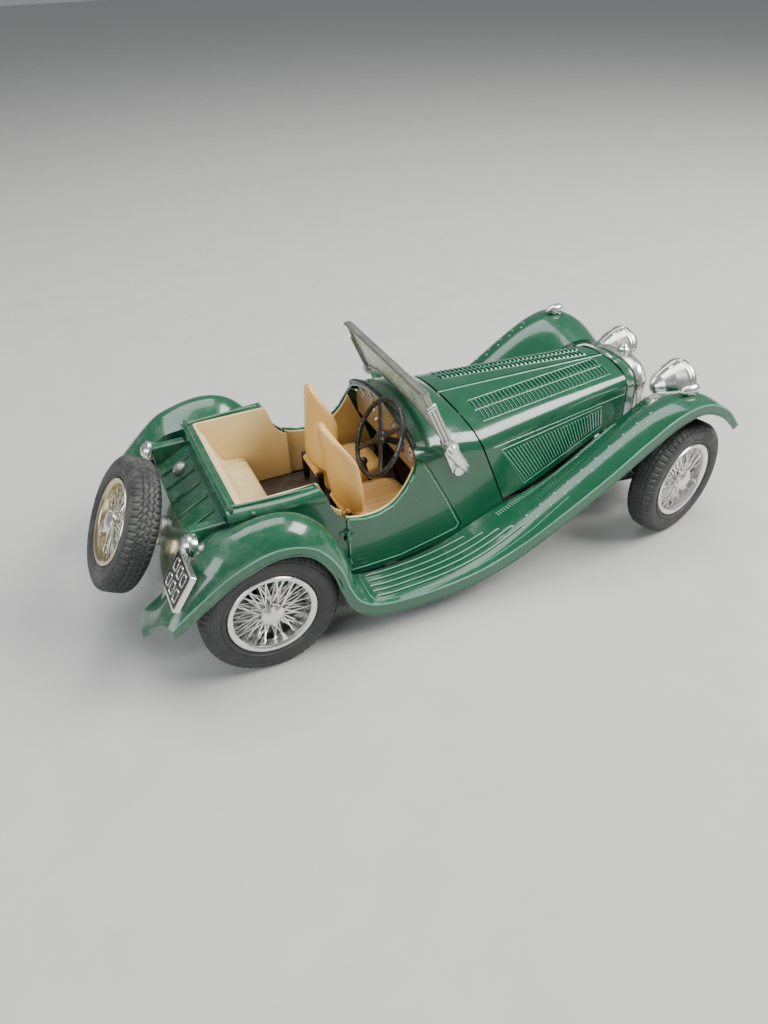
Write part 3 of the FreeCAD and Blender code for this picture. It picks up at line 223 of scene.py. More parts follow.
GLOSS_BLACK = plain("moulded_black", (0.010, 0.010, 0.011), 0.28, coat=0.3, dust=0.22, bump=0.10)
CREAM = plain("trim_cream", (0.84, 0.67, 0.34), 0.45, dust=0.06, tone=0.07, bump=0.12, bump_scale=600.0)
TAN = plain("seat_tan", (0.87, 0.53, 0.17), 0.36, dust=0.05, tone=0.07, bump=0.10, bump_scale=500.0,
            coat=0.12)
DASH = plain("dash_tan", (0.36, 0.27, 0.13), 0.42, dust=0.2, tone=0.12, bump=0.12)
DIAL_WHITE = plain("dial_white", (0.80, 0.78, 0.70), 0.35, dust=0.1, tone=0.05)
DIAL_RED = plain("dial_red", (0.30, 0.035, 0.025), 0.4, dust=0.1)
LENS = plain("lens_bright", (0.88, 0.88, 0.85), 0.10, metal=0.85, coat=0.6, dust=0.1, tone=0.05)
ENGINE = plain("engine_grey", (0.12, 0.13, 0.14), 0.45, metal=0.4, dust=0.3, bump=0.2)
STEEL = plain("pin_steel", (0.45, 0.45, 0.46), 0.30, metal=1.0, dust=0.1)
PLATE_BLACK = plain("plate_black", (0.018, 0.015, 0.014), 0.4, dust=0.35)
PANE = hazed_pane()
LINING = lining()


# ---------------------------------------------------------------- mesh helpers

class Shape:
    """Collects vertices, faces and a material index per face, and turns them into one object."""

    def __init__(self, name, *materials):
        self.name, self.materials = name, materials
        self.verts, self.faces, self.slots = [], [], []

    def add(self, verts, faces, slot=0):
        start = len(self.verts)
        self.verts += [Vector(v) for v in verts]
        self.faces += [tuple(start + i for i in face) for face in faces]
        self.slots += [slot] * len(faces)

    def mesh(self, sharp=35.0):
        data = bpy.data.meshes.new(self.name)
        data.from_pydata([tuple(v) for v in self.verts], [], self.faces)
        for material in self.materials:
            data.materials.append(material)
        data.polygons.foreach_set("material_index", self.slots)
        data.polygons.foreach_set("use_smooth", [True] * len(self.faces))
        data.set_sharp_from_angle(angle=math.radians(sharp))
        data.validate()
        return data

    def place(self, body, sharp=35.0, stands_for=()):
        return put(self.name, self.mesh(sharp), body, stands_for)


def put(name, data, body, stands_for=(), world=None):
    piece = bpy.data.objects.new(name, data)
    bpy.context.scene.collection.objects.link(piece)
    if world:
        piece.matrix_world = world
    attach(piece, body)
    if stands_for:
        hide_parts(*stands_for)
    return piece


def grid_faces(rows, columns, wrap_rows=False, wrap_columns=False):
    faces = []
    for i in range(rows if wrap_rows else rows - 1):
        for j in range(columns if wrap_columns else columns - 1):
            a, b = i * columns + j, i * columns + (j + 1) % columns
            c, d = ((i + 1) % rows) * columns + (j + 1) % columns, ((i + 1) % rows) * columns + j
            faces.append((a, b, c, d))
    return faces


def capped(verts, columns):
    """Faces over loops of that many points, joined into a closed form with both ends capped."""
    faces = grid_faces(len(verts) // columns, columns, wrap_columns=True)
    return faces + [tuple(range(columns))[::-1], tuple(range(len(verts) - columns, len(verts)))]


def turns(count):
    """Equal angles round a full circle."""
    return [2 * math.pi * k / count for k in range(count)]


def tube(points, radius, sides=8, flat=1.0):
    """Bar along a polyline, in metres, with closed ends; radius is one value or one per point."""
    points = [Vector(p) for p in points]
    verts, up = [], Vector((0.13, 0.21, 0.97))
    for i, point in enumerate(points):
        heading = (points[min(i + 1, len(points) - 1)] - points[max(i - 1, 0)]).normalized()
        side = heading.cross(up).normalized()
        top = side.cross(heading).normalized()
        size = radius[i] if isinstance(radius, list) else radius
        for turn in turns(sides):
            verts.append(point + side * (math.cos(turn) * size) + top * (math.sin(turn) * size * flat))
    return verts, capped(verts, sides)


def local_bar(matrix, start, end, radius, sides):
    """Straight bar between two points given in the matrix's own axes, in millimetres."""
    return tube([matrix @ (Vector(point) * MM) for point in (start, end)], radius * MM, sides)


def mirrored(side, *points):
    """Points in the shared frame on the car's right (side -1) or left (side 1)."""
    return [P(x, side * y, z) for x, y, z in points]


def lathe(profile, segments, matrix=None, closed=True):
    """Revolve (radius, distance) in millimetres about local X."""
    verts = []
    for radius, distance in profile:
        for turn in turns(segments):
            verts.append(Vector((distance, radius * math.cos(turn), radius * math.sin(turn))) * MM)
    faces = grid_faces(len(profile), segments, wrap_rows=closed, wrap_columns=True)
    if matrix:
        verts = [matrix @ v for v in verts]
    return verts, faces


def facing(centre, outward):
    """Matrix that puts local X along outward at centre."""
    x = Vector(outward).normalized()
    y = Vector((0, 0, 1)).cross(x)
    if y.length < 0.1:
        y = Vector((0, 1, 0))
    y.normalize()
    z = x.cross(y)
    basis = Matrix((x, y, z)).transposed().to_4x4()
    return Matrix.Translation(centre) @ basis


DOME_RINGS = 4
DOME_SIDES = 8


def ball(centre, radius, normal, squash):
    """Domed rivet head standing on a surface."""
    profile = [(radius * math.cos(a), radius * squash * math.sin(a))
               for a in (i * math.pi / 2 / DOME_RINGS for i in range(-1, DOME_RINGS + 1))]
    return lathe([(max(r, 0.001), d) for r, d in profile], DOME_SIDES, facing(centre, normal), closed=False)


def tree_of(name):
    """Search tree over one CAD node's surface, for the rays of above and beside."""
    node = NODES[name]
    verts = [node.matrix_world @ v.co for v in node.data.vertices]
    return BVHTree.FromPolygons(verts, [tuple(polygon.vertices) for polygon in node.data.polygons])


def above(tree, x, y, top=90.0):
    """Point and upward normal where a ray straight down meets the surface, or None twice."""
    hit, normal, _, _ = tree.ray_cast(P(x, y, top), Vector((0, 0, -1)))
    if hit is None:
        return None, None
    return hit, normal if normal.z > 0 else -normal


def beside(tree, x, z, side):
    """Point and outward normal where a ray straight in from that side meets it, or None twice."""
    hit, normal, _, _ = tree.ray_cast(P(x, side * 80.0, z), Vector((0, -side, 0)))
    if hit is None:
        return None, None
    return hit, normal if normal.y * side > 0 else -normal


def along(a, b, t):
    """Point at share t of the way from a to b."""
    return tuple(p + (q - p) * t for p, q in zip(a, b))


def catmull(points, per_span):
    """Smooth curve through the given points."""
    padded = [points[0]] + list(points) + [points[-1]]
    curve = []
    for i in range(1, len(padded) - 2):
        for k in range(per_span):
            t = k / per_span
            p0, p1, p2, p3 = (Vector(padded[i + j]) for j in (-1, 0, 1, 2))
            curve.append(0.5 * ((2 * p1) + (p2 - p0) * t + (2 * p0 - 5 * p1 + 4 * p2 - p3) * t * t
                                + (3 * p1 - p0 - 3 * p2 + p3) * t ** 3))
    return curve + [Vector(padded[-2])]


# ---------------------------------------------------------------- carried-over nodes

CAD_SHARP = 28.0
FINISHES = {
    PAINT: ["body_shell", "wing_right", "wing_left", "fuel_tank", "radiator_surround", "door_right",
            "door_left", "bonnet_right", "bonnet_left"],
    PAINT_HIGHLIGHT: ["bonnet_hinge_rod"],
    CHROME: ["windscreen_stanchions", "windscreen_knobs", "radiator_shell", "radiator_cap", "headlamp_right",
             "headlamp_left", "lamp_bar", "horns", "side_lamps", "tail_lamps", "number_plate_frame"],
    SATIN_SILVER: ["spare_carrier", "filler_cap"],
    SCREEN_BAR: ["windscreen_frame"],
    BASE_BLACK: ["chassis_frame", "front_axle", "knuckle_right", "knuckle_left", "track_rod"],
    GLOSS_BLACK: ["steering_column", "control_levers", "radiator_grille", "pivot_pins"],
    STEEL: ["base_screws", "rear_axle"],
    CREAM: ["door_card_right", "door_card_left"],
    LINING: ["cockpit_tub"],
    DASH: ["dashboard"],
    PLATE_BLACK: ["number_plate"],
    ENGINE: ["engine"],
    PANE: ["windscreen_glass"],
    DIAL_WHITE: ["gauges"],
    LENS: ["headlamp_lenses"],
    RUBBER: ["tyre_front_right", "tyre_front_left", "tyre_rear_right", "tyre_rear_left", "spare_tyre"],
    TAN: ["seat_back_right", "seat_back_left", "seat_cushion_right", "seat_cushion_left", "rear_bench"],
}
for finish, names in FINISHES.items():
    for name in names:
        data = NODES[name].data
        data.materials.clear()
        data.materials.append(finish)
        data.polygons.foreach_set("use_smooth", [True] * len(data.polygons))
        data.set_sharp_from_angle(angle=math.radians(CAD_SHARP))
for name in ("wheel_front_right", "wheel_front_left", "wheel_rear_right", "wheel_rear_left", "spare_wheel",
             "steering_wheel"):
    NODES[name].data.materials.clear()
    NODES[name].data.materials.append(CHROME)


# ---------------------------------------------------------------- wheels

TREAD_BLOCKS = 60
STEPS_PER_BLOCK = 6
# millimetres off the tyre's middle plane
GROOVES = (-1.55, 0.0, 1.55)
SHOULDER_STARTS = 2.55
WALL_STARTS = 3.6
# radius outside which the tyre is cut by its tread
TREAD_STARTS = 19.0
SPOKES_PER_ROW = 24
SPOKE_RADIUS = 0.27
AXLE_HEIGHT = 20.5
FRONT_AXLE_X = 145.5
KING_PIN_Y = 31.5
FRONT_WHEEL_Y = 37.0
REAR_WHEEL_Y = 38.0
REST_LOCK = math.radians(14.0)
SPARE_LEAN = math.radians(30.0)


def zigzag(t):
    return 4 * abs(t - math.floor(t) - 0.5) - 1


def tread_depth(turn, across):
    """Depth cut into the tyre at that turn and that distance across, in millimetres."""
    phase = turn * TREAD_BLOCKS
    if abs(across) > SHOULDER_STARTS:
        return 0.30 if (phase - math.floor(phase)) < 0.26 else 0.0
    for groove in GROOVES:
        if abs(across - groove - 0.28 * zigzag(phase)) < 0.17:
            return 0.28
    cross = phase + (0.5 if across > 0 else 0.0)
    return 0.14 if (cross - math.floor(cross)) < 0.17 else 0.0


def tyre_mesh():
    wall = [(13.34, 3.3), (13.6, 3.9), (14.1, 4.15), (14.35, 4.2), (14.5, 4.45), (14.8, 4.5), (14.95, 4.3),
            (15.6, 4.5), (16.6, 4.66), (17.5, 4.66), (17.75, 4.60), (17.85, 4.69), (18.15, 4.66), (18.3, 4.45),
            (18.9, 4.28)]
    shoulder = [(19.25, 4.1), (19.55, 3.95), (19.85, 3.7), (20.1, 3.35), (20.28, 2.95), (20.4, 2.6)]
    crown = [(20.5 - 0.1 * (w / 2.4) ** 2, w) for w in (2.4 - 0.15 * i for i in range(33))]
    outer = wall + shoulder
    profile = outer + crown + [(r, -w) for r, w in reversed(outer)]
    count = TREAD_BLOCKS * STEPS_PER_BLOCK
    verts = []
    for radius, across in profile:
        for k in range(count):
            turn = k / count
            cut = tread_depth(turn, across) if radius > TREAD_STARTS else 0.0
            inward = cut * (0.5 if abs(across) > WALL_STARTS else 0.0)
            r = radius - cut
            angle = 2 * math.pi * turn
            w = across - math.copysign(inward, across)
            verts.append(Vector((w, r * math.cos(angle), r * math.sin(angle))) * MM)
    shape = Shape("tyre", RUBBER)
    shape.add(verts, grid_faces(len(profile), count, wrap_rows=True, wrap_columns=True))
    return shape.mesh(30.0)


def spoke_row(shape, hub_r, hub_w, rim_r, rim_w, lead):
    """Crossed spokes from hub to rim, each with a thicker nipple at the rim."""
    for index, turn in enumerate(turns(SPOKES_PER_ROW)):
        swing = lead if index % 2 else -lead
        start = Vector((hub_w, hub_r * math.cos(turn), hub_r * math.sin(turn))) * MM
        end = Vector((rim_w, rim_r * math.cos(turn + swing), rim_r * math.sin(turn + swing))) * MM
        shape.add(*tube([start, end], SPOKE_RADIUS * MM, 6))
        nipple = start + (end - start) * 0.88
        shape.add(*tube([nipple, end], SPOKE_RADIUS * 1.55 * MM, 6))


def wheel_mesh(name, rim_finish):
    """Wire wheel: rim, hub with its cap, three rows of spokes and the two-eared nut."""
    shape = Shape(name, CHROME, rim_finish)
    rim = [(13.33, 3.3), (13.35, 3.9), (13.1, 4.25), (12.6, 4.25), (12.0, 4.0), (11.6, 3.6), (11.5, 2.9),
           (11.55, 1.8), (11.45, 1.5), (11.45, 0.6), (11.7, -1.2), (12.2, -3.0), (12.7, -4.0),
           (13.3, -4.0), (13.33, -3.3)]
    shape.add(*lathe(rim, 120), 1)
    hub = [(0.01, -1.6), (2.5, -1.6), (3.1, -1.4), (3.1, -0.7), (2.4, -0.5), (2.2, 0.6), (2.2, 1.9),
           (3.2, 2.2), (3.2, 2.9), (2.8, 3.1), (3.0, 3.4), (3.5, 3.7), (3.4, 4.2), (2.7, 4.8),
           (1.5, 5.2), (0.01, 5.35)]
    shape.add(*lathe(hub, 40, closed=False))
    spoke_row(shape, 2.9, 2.6, 11.7, 1.5, 0.52)
    spoke_row(shape, 2.6, 2.3, 11.7, 0.7, 0.30)
    spoke_row(shape, 3.0, -1.0, 11.8, -0.9, 0.46)
    # distance from the wheel's axis, half width, distance out, half thickness
    ear = [(0.6, 0.75, 4.3, 0.9), (2.0, 0.9, 4.35, 0.85), (3.0, 0.8, 4.5, 0.7), (3.6, 0.5, 4.65, 0.5),
           (3.8, 0.15, 4.7, 0.2)]
    for side in (-1, 1):
        verts = []
        for reach, wide, out, thick in ear:
            for turn in turns(8):
                corner = (out + thick * math.sin(turn), wide * math.cos(turn), side * reach)
                verts.append(Vector(corner) * MM)
        shape.add(verts, grid_faces(len(ear), 8, wrap_columns=True))
    return shape.mesh(32.0)


def steered(centre, outward, side):
    """Placement of a front wheel, swung about its king pin to the lock that it has at rest."""
    pivot = Vector((FRONT_AXLE_X, side * KING_PIN_Y, 0))
    turn = Matrix.Rotation(REST_LOCK, 3, "Z")
    moved = pivot + turn @ (Vector(centre) - pivot)
    return facing(P(*moved), turn @ Vector(outward))


tyre_data = tyre_mesh()
wheel_data = wheel_mesh("wire_wheel", CHROME)
gold_data = wheel_mesh("wire_wheel_gold", CHROME_GOLD)
for hand, side in (("right", -1), ("left", 1)):
    rear_place = facing(P(0, side * REAR_WHEEL_Y, AXLE_HEIGHT), (0, side, 0))
    front_place = steered((FRONT_AXLE_X, side * FRONT_WHEEL_Y, AXLE_HEIGHT), (0, side, 0), side)
    put("tyre_moulded_rear_" + hand, tyre_data, "rear_wheels", ["tyre_rear_" + hand], rear_place)
    put("wire_wheel_rear_" + hand, wheel_data, "rear_wheels", ["wheel_rear_" + hand], rear_place)
    put("tyre_moulded_front_" + hand, tyre_data, "front_wheel_" + hand, ["tyre_front_" + hand], front_place)
    put("wire_wheel_front_" + hand, wheel_data, "front_wheel_" + hand, ["wheel_front_" + hand], front_place)
spare_place = facing(P(-31.4, 0, 35.0), (-math.cos(SPARE_LEAN), 0, math.sin(SPARE_LEAN)))
put("tyre_moulded_spare", tyre_data, "chassis", ["spare_tyre"], spare_place)
put("wire_wheel_spare", gold_data, "chassis", ["spare_wheel"], spare_place)


# ---------------------------------------------------------------- bonnet louvres and hinge lines

def ridge(shape, rows, crest):
    """Bump whose first and last rows lie in the surface; the crest strip takes the lighter green of painted
    highlight.
    """
    strip = len(rows[0]) - 1
    shape.add([v for row in rows for v in row], grid_faces(len(rows), len(rows[0])))
    first = len(shape.slots) - (len(rows) - 1 - crest) * strip
    shape.slots[first:first + strip] = [1] * strip


def roof_louvre(shape, tree, x, y0, y1, wide, high):
    rows = []
    for dx, lift in ((wide, -0.08), (wide * 0.7, high * 0.6), (wide * 0.3, high), (0.08, high), (0.0, -0.08)):
        row = []
        for t in (0.0, 0.12, 0.5, 0.88, 1.0):
            point, normal = above(tree, x + dx, y0 + (y1 - y0) * t)
            if point is None:
                return
            row.append(point + normal * (MM * (lift if 0.0 < t < 1.0 else -0.08)))
        rows.append(row)
    ridge(shape, rows, 2)


def side_louvre(shape, tree, top, bottom, side, wide, high):
    rows = []
    for dx, lift in ((wide, -0.06), (wide * 0.65, high * 0.7), (wide * 0.2, high), (0.0, -0.06)):
        row = []
        for t in (0.0, 0.06, 0.5, 0.94, 1.0):
            x, z = along(top, bottom, t)
            point, normal = beside(tree, x + dx, z, side)
            if point is None:
                return
            row.append(point + normal * (MM * (lift if 0.0 < t < 1.0 else -0.06)))
        rows.append(row)
    ridge(shape, rows, 1)


# first and last louvre of each roof row: station, inner y, outer y
ROOF_ROWS = (((80.5, 9.0, 13.6), (133.0, 1.9, 6.2)), ((80.9, 13.9, 18.4), (133.6, 7.0, 11.2)))
LOUVRES = 34
# (station, height) of the first and last side louvre's top end and bottom end
SIDE_TOPS = ((84.5, 40.6), (126.9, 41.6))
SIDE_FEET = ((93.6, 27.2), (127.4, 35.6))
SIDE_LOUVRES = 33
# lines of painted highlight along the bonnet's seams and panel edges: (station, y) ends on the roof, and (station,
# height) paths on the side
ROOF_LINES = (((80.2, 8.6), (133.8, 1.7)), ((80.0, 13.75), (134.0, 6.6)), ((80.2, 18.8), (134.6, 11.5)))
SIDE_LINES = ([(77.4, 43.3), (138.4, 43.9)], [(84.0, 41.6), (127.6, 42.7), (128.4, 35.3)],
              [(84.0, 41.6), (93.2, 26.4), (128.4, 34.9)])
for hand, side in (("right", -1), ("left", 1)):
    bonnet_tree = tree_of("bonnet_" + hand)
    louvres = Shape("bonnet_louvres_" + hand, PAINT, PAINT_HIGHLIGHT)
    for start, end in ROOF_ROWS:
        for index in range(LOUVRES):
            x, y0, y1 = along(start, end, index / (LOUVRES - 1))
            roof_louvre(louvres, bonnet_tree, x, side * y0, side * y1, 1.05, 0.5)
    for index in range(SIDE_LOUVRES):
        t = index / (SIDE_LOUVRES - 1)
        side_louvre(louvres, bonnet_tree, along(*SIDE_TOPS, t), along(*SIDE_FEET, t), side, 0.85, 0.26)
    louvres.place("bonnet_" + hand, 25.0)
    # Thin lines in the lighter green: painted highlight along the seams and panel edges
    lines = Shape("bonnet_lines_" + hand, PAINT_HIGHLIGHT)
    for start, end in ROOF_LINES:
        spots = (along(start, end, i / 24) for i in range(25))
        points = [above(bonnet_tree, x, side * y)[0] for x, y in spots]
        lines.add(*tube([p for p in points if p], 0.13 * MM, 6))
    for path in SIDE_LINES:
        points = []
        for start, end in zip(path, path[1:]):
            points += [beside(bonnet_tree, *along(start, end, i / 16), side)[0] for i in range(17)]
        lines.add(*tube([p for p in points if p], 0.14 * MM, 6))
    lines.place("bonnet_" + hand)

# The hinge bead takes the lighter green: painted highlight along it
hinge = Shape("bonnet_centre_bead", PAINT_HIGHLIGHT)
hinge.add(*tube([P(73.8, 0, 52.9), P(139.2, 0, 51.75)], 0.44 * MM, 12))
hinge.place("chassis", stands_for=["bonnet_hinge_rod"])


# ---------------------------------------------------------------- wings and running boards

# along the outer edge: station and height of the lip's bottom, its lean in degrees, lip height
WING_LINES = [
    (-27.2, 25.6, -52, 2.6), (-17.6, 32.2, -34, 3.0), (-7.6, 38.4, -22, 3.0), (3.2, 41.6, 2, 2.8),
    (12.0, 39.2, 34, 2.6), (17.9, 31.4, 62, 2.4), (20.9, 22.0, 72, 2.4), (24.0, 14.6, 50, 3.2),
    (30.4, 10.0, 22, 3.9), (40.0, 8.1, 4, 4.2), (53.0, 7.9, -4, 4.2), (67.0, 9.4, -10, 4.4),
    (81.0, 13.9, -18, 4.4), (97.0, 22.0, -27, 4.0), (113.0, 31.2, -30, 3.8), (128.0, 41.0, -32, 3.6),
    (138.0, 46.6, -18, 3.4), (147.0, 48.2, 6, 3.2), (155.0, 45.0, 34, 2.6), (161.4, 39.0, 50, 1.6)]
TAIL_TRIM_X = -26.8
WING_SIDE_Y = 44.5
# height that rays onto the wings start from, under the screen and the lamps
WING_RAY_TOP = 60.0
# raised ribs of the running board: rear station, y at that end, front station
RIBS = ((32.6, 31.6, 67.5), (32.2, 34.0, 73.0), (32.0, 36.3, 77.5), (32.0, 38.6, 81.0), (32.3, 40.9, 84.5))
# (station, y) path of the painted highlight line round the running board's edge
BOARD_EDGE = [(31.0, 30.9), (30.2, 33.0), (30.0, 41.0), (31.0, 42.6), (33.0, 43.1), (60.0, 43.2),
              (86.0, 42.9), (100.0, 41.9)]
INNER_TICKS = 52
STUD_PAIRS = 11


def lip_line(side, share, out=0.05):
    """Smooth line along the wing's outer skirt; share 0 is its bottom edge and 1 its top."""
    points = []
    for x, z, lean, lip in WING_LINES:
        angle = math.radians(lean)
        up = math.cos(angle) * lip * share
        points.append(P(x + math.sin(angle) * lip * share, side * (WING_SIDE_Y + out), z + up))
    return [point for point in catmull(points, 6) if point.x > P(TAIL_TRIM_X, 0, 0).x]


for hand, side in (("right", -1), ("left", 1)):
    wing_tree = tree_of("wing_" + hand)
    trim = Shape("wing_trim_" + hand, PAINT, PAINT_HIGHLIGHT, PAINT_PALE_AND_HIGHLIGHT)
    trim.add(*tube(lip_line(side, 0.0, -0.35), 0.5 * MM, 8), 0)
    # Lighter line along the lip's top edge: painted highlight
    trim.add(*tube(lip_line(side, 0.96, -0.12), 0.28 * MM, 8), 1)
    for x0, y, x1 in RIBS:
        points = []
        for i in range(31):
            x = x0 + (x1 - x0) * i / 30
            point, normal = above(wing_tree, x, side * (y - 0.02 * (x - x0)))
            if point is not None:
                points.append(point + normal * (MM * (0.10 if 0 < i < 30 else -0.2)))
        trim.add(*tube(points, 0.42 * MM, 8), 0)
        # Thin pale strip on each rib's upper outer edge: painted highlight
        trim.add(*tube([p + Vector((0, side * 0.32 * MM, 0.22 * MM)) for p in points], 0.20 * MM, 6), 2)
    # Line round the board in the lighter green: painted highlight
    points = []
    for start, end in zip(BOARD_EDGE, BOARD_EDGE[1:]):
        for i in range(10):
            x, y = along(start, end, i / 10)
            hit, _ = above(wing_tree, x, side * y, WING_RAY_TOP)
            if hit is not None:
                points.append(hit)
    trim.add(*tube(points, 0.16 * MM, 6), 1)
    for index in range(INNER_TICKS):
        x = 80.0 + 46.0 * index / (INNER_TICKS - 1)
        inner = 29.6 - 4.4 * index / (INNER_TICKS - 1)
        first, _ = above(wing_tree, x, side * inner, WING_RAY_TOP)
        last, _ = above(wing_tree, x + 0.3, side * (inner + 1.7), WING_RAY_TOP)
        if first is not None and last is not None:
            trim.add(*tube([first, last], 0.15 * MM, 6), 2)
    for index in range(STUD_PAIRS):
        for x, y in ((81.0 + 4.9 * index, 38.3 - 0.06 * index), (83.2 + 4.9 * index, 41.0 - 0.16 * index)):
            point, normal = above(wing_tree, x, side * y, WING_RAY_TOP)
            if point is not None:
                trim.add(*ball(point, 0.38, normal, squash=0.8), 2)
    trim.place("chassis")


# ---------------------------------------------------------------- body beads, studs and tank

def side_curve(tree, path, side, lift):
    """Points of a (station, height) path laid on the body's side, lifted off it in millimetres."""
    points = []
    for start, end in zip(path, path[1:]):
        for i in range(12):
            point, normal = beside(tree, *along(start, end, i / 12), side)
            if point is not None:
                points.append(point + normal * (lift * MM))
    return points


shell_tree = tree_of("body_shell")
beads = Shape("body_beads", PAINT, BEAD_DARK)
rim = []
for i in range(41):
    y = -24.2 + 48.4 * i / 40
    point, normal = above(shell_tree, 53.3, y)
    if point is not None:
        rim.append(point - normal * (0.1 * MM))
beads.add(*tube(rim, 0.95 * MM, 12), 1)
rear_rim = [(20.0, 26.9, 48.5), (10.0, 26.6, 48.6), (0.0, 26.0, 48.6), (-3.2, 25.4, 48.6), (-4.2, 23.8, 48.6)]
loop = [P(x, -y, z) for x, y, z in rear_rim] + [P(x, y, z) for x, y, z in reversed(rear_rim)]
beads.add(*tube(catmull(loop, 6), 0.5 * MM, 10), 0)
for side in (-1, 1):
    for x in (1.5, 15.5):
        beads.add(*ball(P(x, side * 28.9, 46.9), 0.85, (0, side * 0.8, 0.6), squash=0.9), 0)
beads.place("chassis")

for hand, side in (("right", -1), ("left", 1)):
    door_tree = tree_of("door_" + hand)
    # Both lines take the lighter green: painted highlight on the door's outline and on the top edge of its
    # cut-away
    edge = Shape("door_edge_" + hand, PAINT_HIGHLIGHT)
    outline = [(28.7, 36.2), (28.7, 17.2), (45.8, 16.6), (59.8, 18.3), (66.2, 19.4), (67.0, 20.8), (62.0, 32.2),
               (56.5, 43.4), (54.8, 46.0)]
    edge.add(*tube(side_curve(door_tree, outline, side, 0.03), 0.22 * MM, 6))
    cut = [(29.2, 36.0), (34.0, 34.6), (39.0, 34.4), (44.0, 35.8), (48.0, 39.0), (51.0, 43.0), (52.6, 46.6)]
    edge.add(*tube(side_curve(door_tree, cut, side, -0.3), 0.34 * MM, 8))
    edge.place("door_" + hand)


# ---------------------------------------------------------------- seats

def plate(name, rows, finish, body, stands_for, sharp):
    """Closed form from a list of loops, each a list of points, capped at both ends."""
    shape = Shape(name, finish)
    verts = [v for row in rows for v in row]
    shape.add(verts, capped(verts, len(rows[0])))
    shape.place(body, sharp, stands_for)


SEAT_TILT = {"right": -7.0, "left": 4.0}
SEAT_Y = 12.6
SEAT_PIVOT_X = 33.0
SEAT_PIVOT_Z = 29.5
SEAT_BACK_H = 30.0
SQUAB_FOOT = 1.9
FLOOR_Z = 20.45
# height up the squab and its half width there
BACK_WIDTH = [(0.0, 9.0), (3.0, 10.6), (9.0, 11.3), (15.0, 11.4), (20.0, 11.2), (23.0, 10.0), (26.0, 7.6),
              (28.5, 4.0), (SEAT_BACK_H, 0.6)]


def read(table, value):
    """Straight-line reading of a table of (value, result) rows."""
    for (a, va), (b, vb) in zip(table, table[1:]):
        if value <= b:
            return va + (vb - va) * (value - a) / (b - a)
    return table[-1][1]


def seat_back(hand, side):
    """Bucket squab with vertical flutes on its front and a thick rolled rim."""
    turn = math.radians(SEAT_TILT[hand])
    rows = []
    for i in range(45):
        v = i / 44
        z = SQUAB_FOOT + (SEAT_BACK_H - SQUAB_FOOT) * (1 - (1 - v) ** 1.25)
        half = read(BACK_WIDTH, min(z, SEAT_BACK_H))
        row = []
        for face in (1, -1):
            for k in range(49):
                u = (-1 + 2 * k / 48) * face
                s = math.copysign(1 - (1 - abs(u)) ** 1.35, u)
                y = half * s
                edge = (max(0.0, 1 - abs(s) ** 7) * max(0.0, 1 - abs(2 * v - 1) ** 9)) ** 0.5
                x = 15.0 - math.sqrt(15.5 ** 2 - y * y)
                flute = 0.0
                if face == 1 and abs(s) < 0.80 and 3.0 < z < 25.0:
                    flute = 0.22 * abs(math.sin(math.pi * y / 2.1)) ** 0.6 - 0.12
                x += face * (0.22 + 0.98 * edge) + flute
                row.append(P(SEAT_PIVOT_X + x * math.cos(turn) + z * math.sin(turn), side * SEAT_Y + y,
                             SEAT_PIVOT_Z - x * math.sin(turn) + z * math.cos(turn)))
        rows.append(row)
    plate("seat_squab_" + hand, rows, TAN, "seat_back_" + hand, ["seat_back_" + hand], 60.0)
    barrel = Shape("seat_barrel_" + hand, TAN)
    for half, z, radius, sides in ((6, SEAT_PIVOT_Z, 1.25, 16), (5, 30.4, 1.1, 10)):
        ends = [P(SEAT_PIVOT_X, side * SEAT_Y - half, z), P(SEAT_PIVOT_X, side * SEAT_Y + half, z)]
        barrel.add(*tube(ends, radius * MM, sides))
    barrel.place("seat_back_" + hand)


def seat_cushion(hand, side):
    """Moulded cushion with a rounded front and fore-and-aft pleats."""
    x0, x1, half = 36.3, 56.1, 10.3
    middle, reach = (x0 + x1) / 2, (x1 - x0) / 2
    rings = []
    count = 96
    for level, shrink in ((FLOOR_Z, 0.25), (21.0, 0.0), (26.0, 0.0), (27.6, 0.2), (28.3, 0.7), (28.55, 1.5)):
        ring = []
        for turn in turns(count):
            power = 0.42 if math.cos(turn) < 0 else 0.72
            cx = math.copysign(abs(math.cos(turn)) ** power, math.cos(turn))
            sy = math.copysign(abs(math.sin(turn)) ** 0.5, math.sin(turn))
            ring.append(P(middle + cx * (reach - shrink), side * SEAT_Y + sy * (half - shrink), level))
        rings.append(ring)
    body = Shape("seat_cushion_pleated_" + hand, TAN)
    verts = [v for ring in rings for v in ring]
    faces = grid_faces(len(rings), count, wrap_columns=True)
    faces.append(tuple(range(count))[::-1])
    body.add(verts, faces)
    top = []
    for i in range(25):
        for k in range(73):
            u, v = -1 + 2 * i / 24, -1 + 2 * k / 72
            reach_x = reach - 1.3
            reach_y = half - 1.3
            squeeze = 1 - 0.35 * max(0.0, u) ** 6
            y = v * reach_y * squeeze
            edge = (max(0.0, 1 - abs(u) ** 10) * max(0.0, 1 - abs(v) ** 10)) ** 0.5
            pleat = 0.46 * abs(math.sin(math.pi * y / 2.3)) ** 0.5 if abs(v) < 0.93 else 0.4
            top.append(P(middle + u * reach_x * (1 - 0.10 * abs(v) ** 6 * (1 if u > 0 else 0)),
                         side * SEAT_Y + y, 28.0 + edge * (0.35 + pleat)))
    body.add(top, grid_faces(25, 73))
    body.place("chassis", 50.0, ["seat_cushion_" + hand])


seat_back("right", -1)
seat_back("left", 1)
seat_cushion("right", -1)
seat_cushion("left", 1)

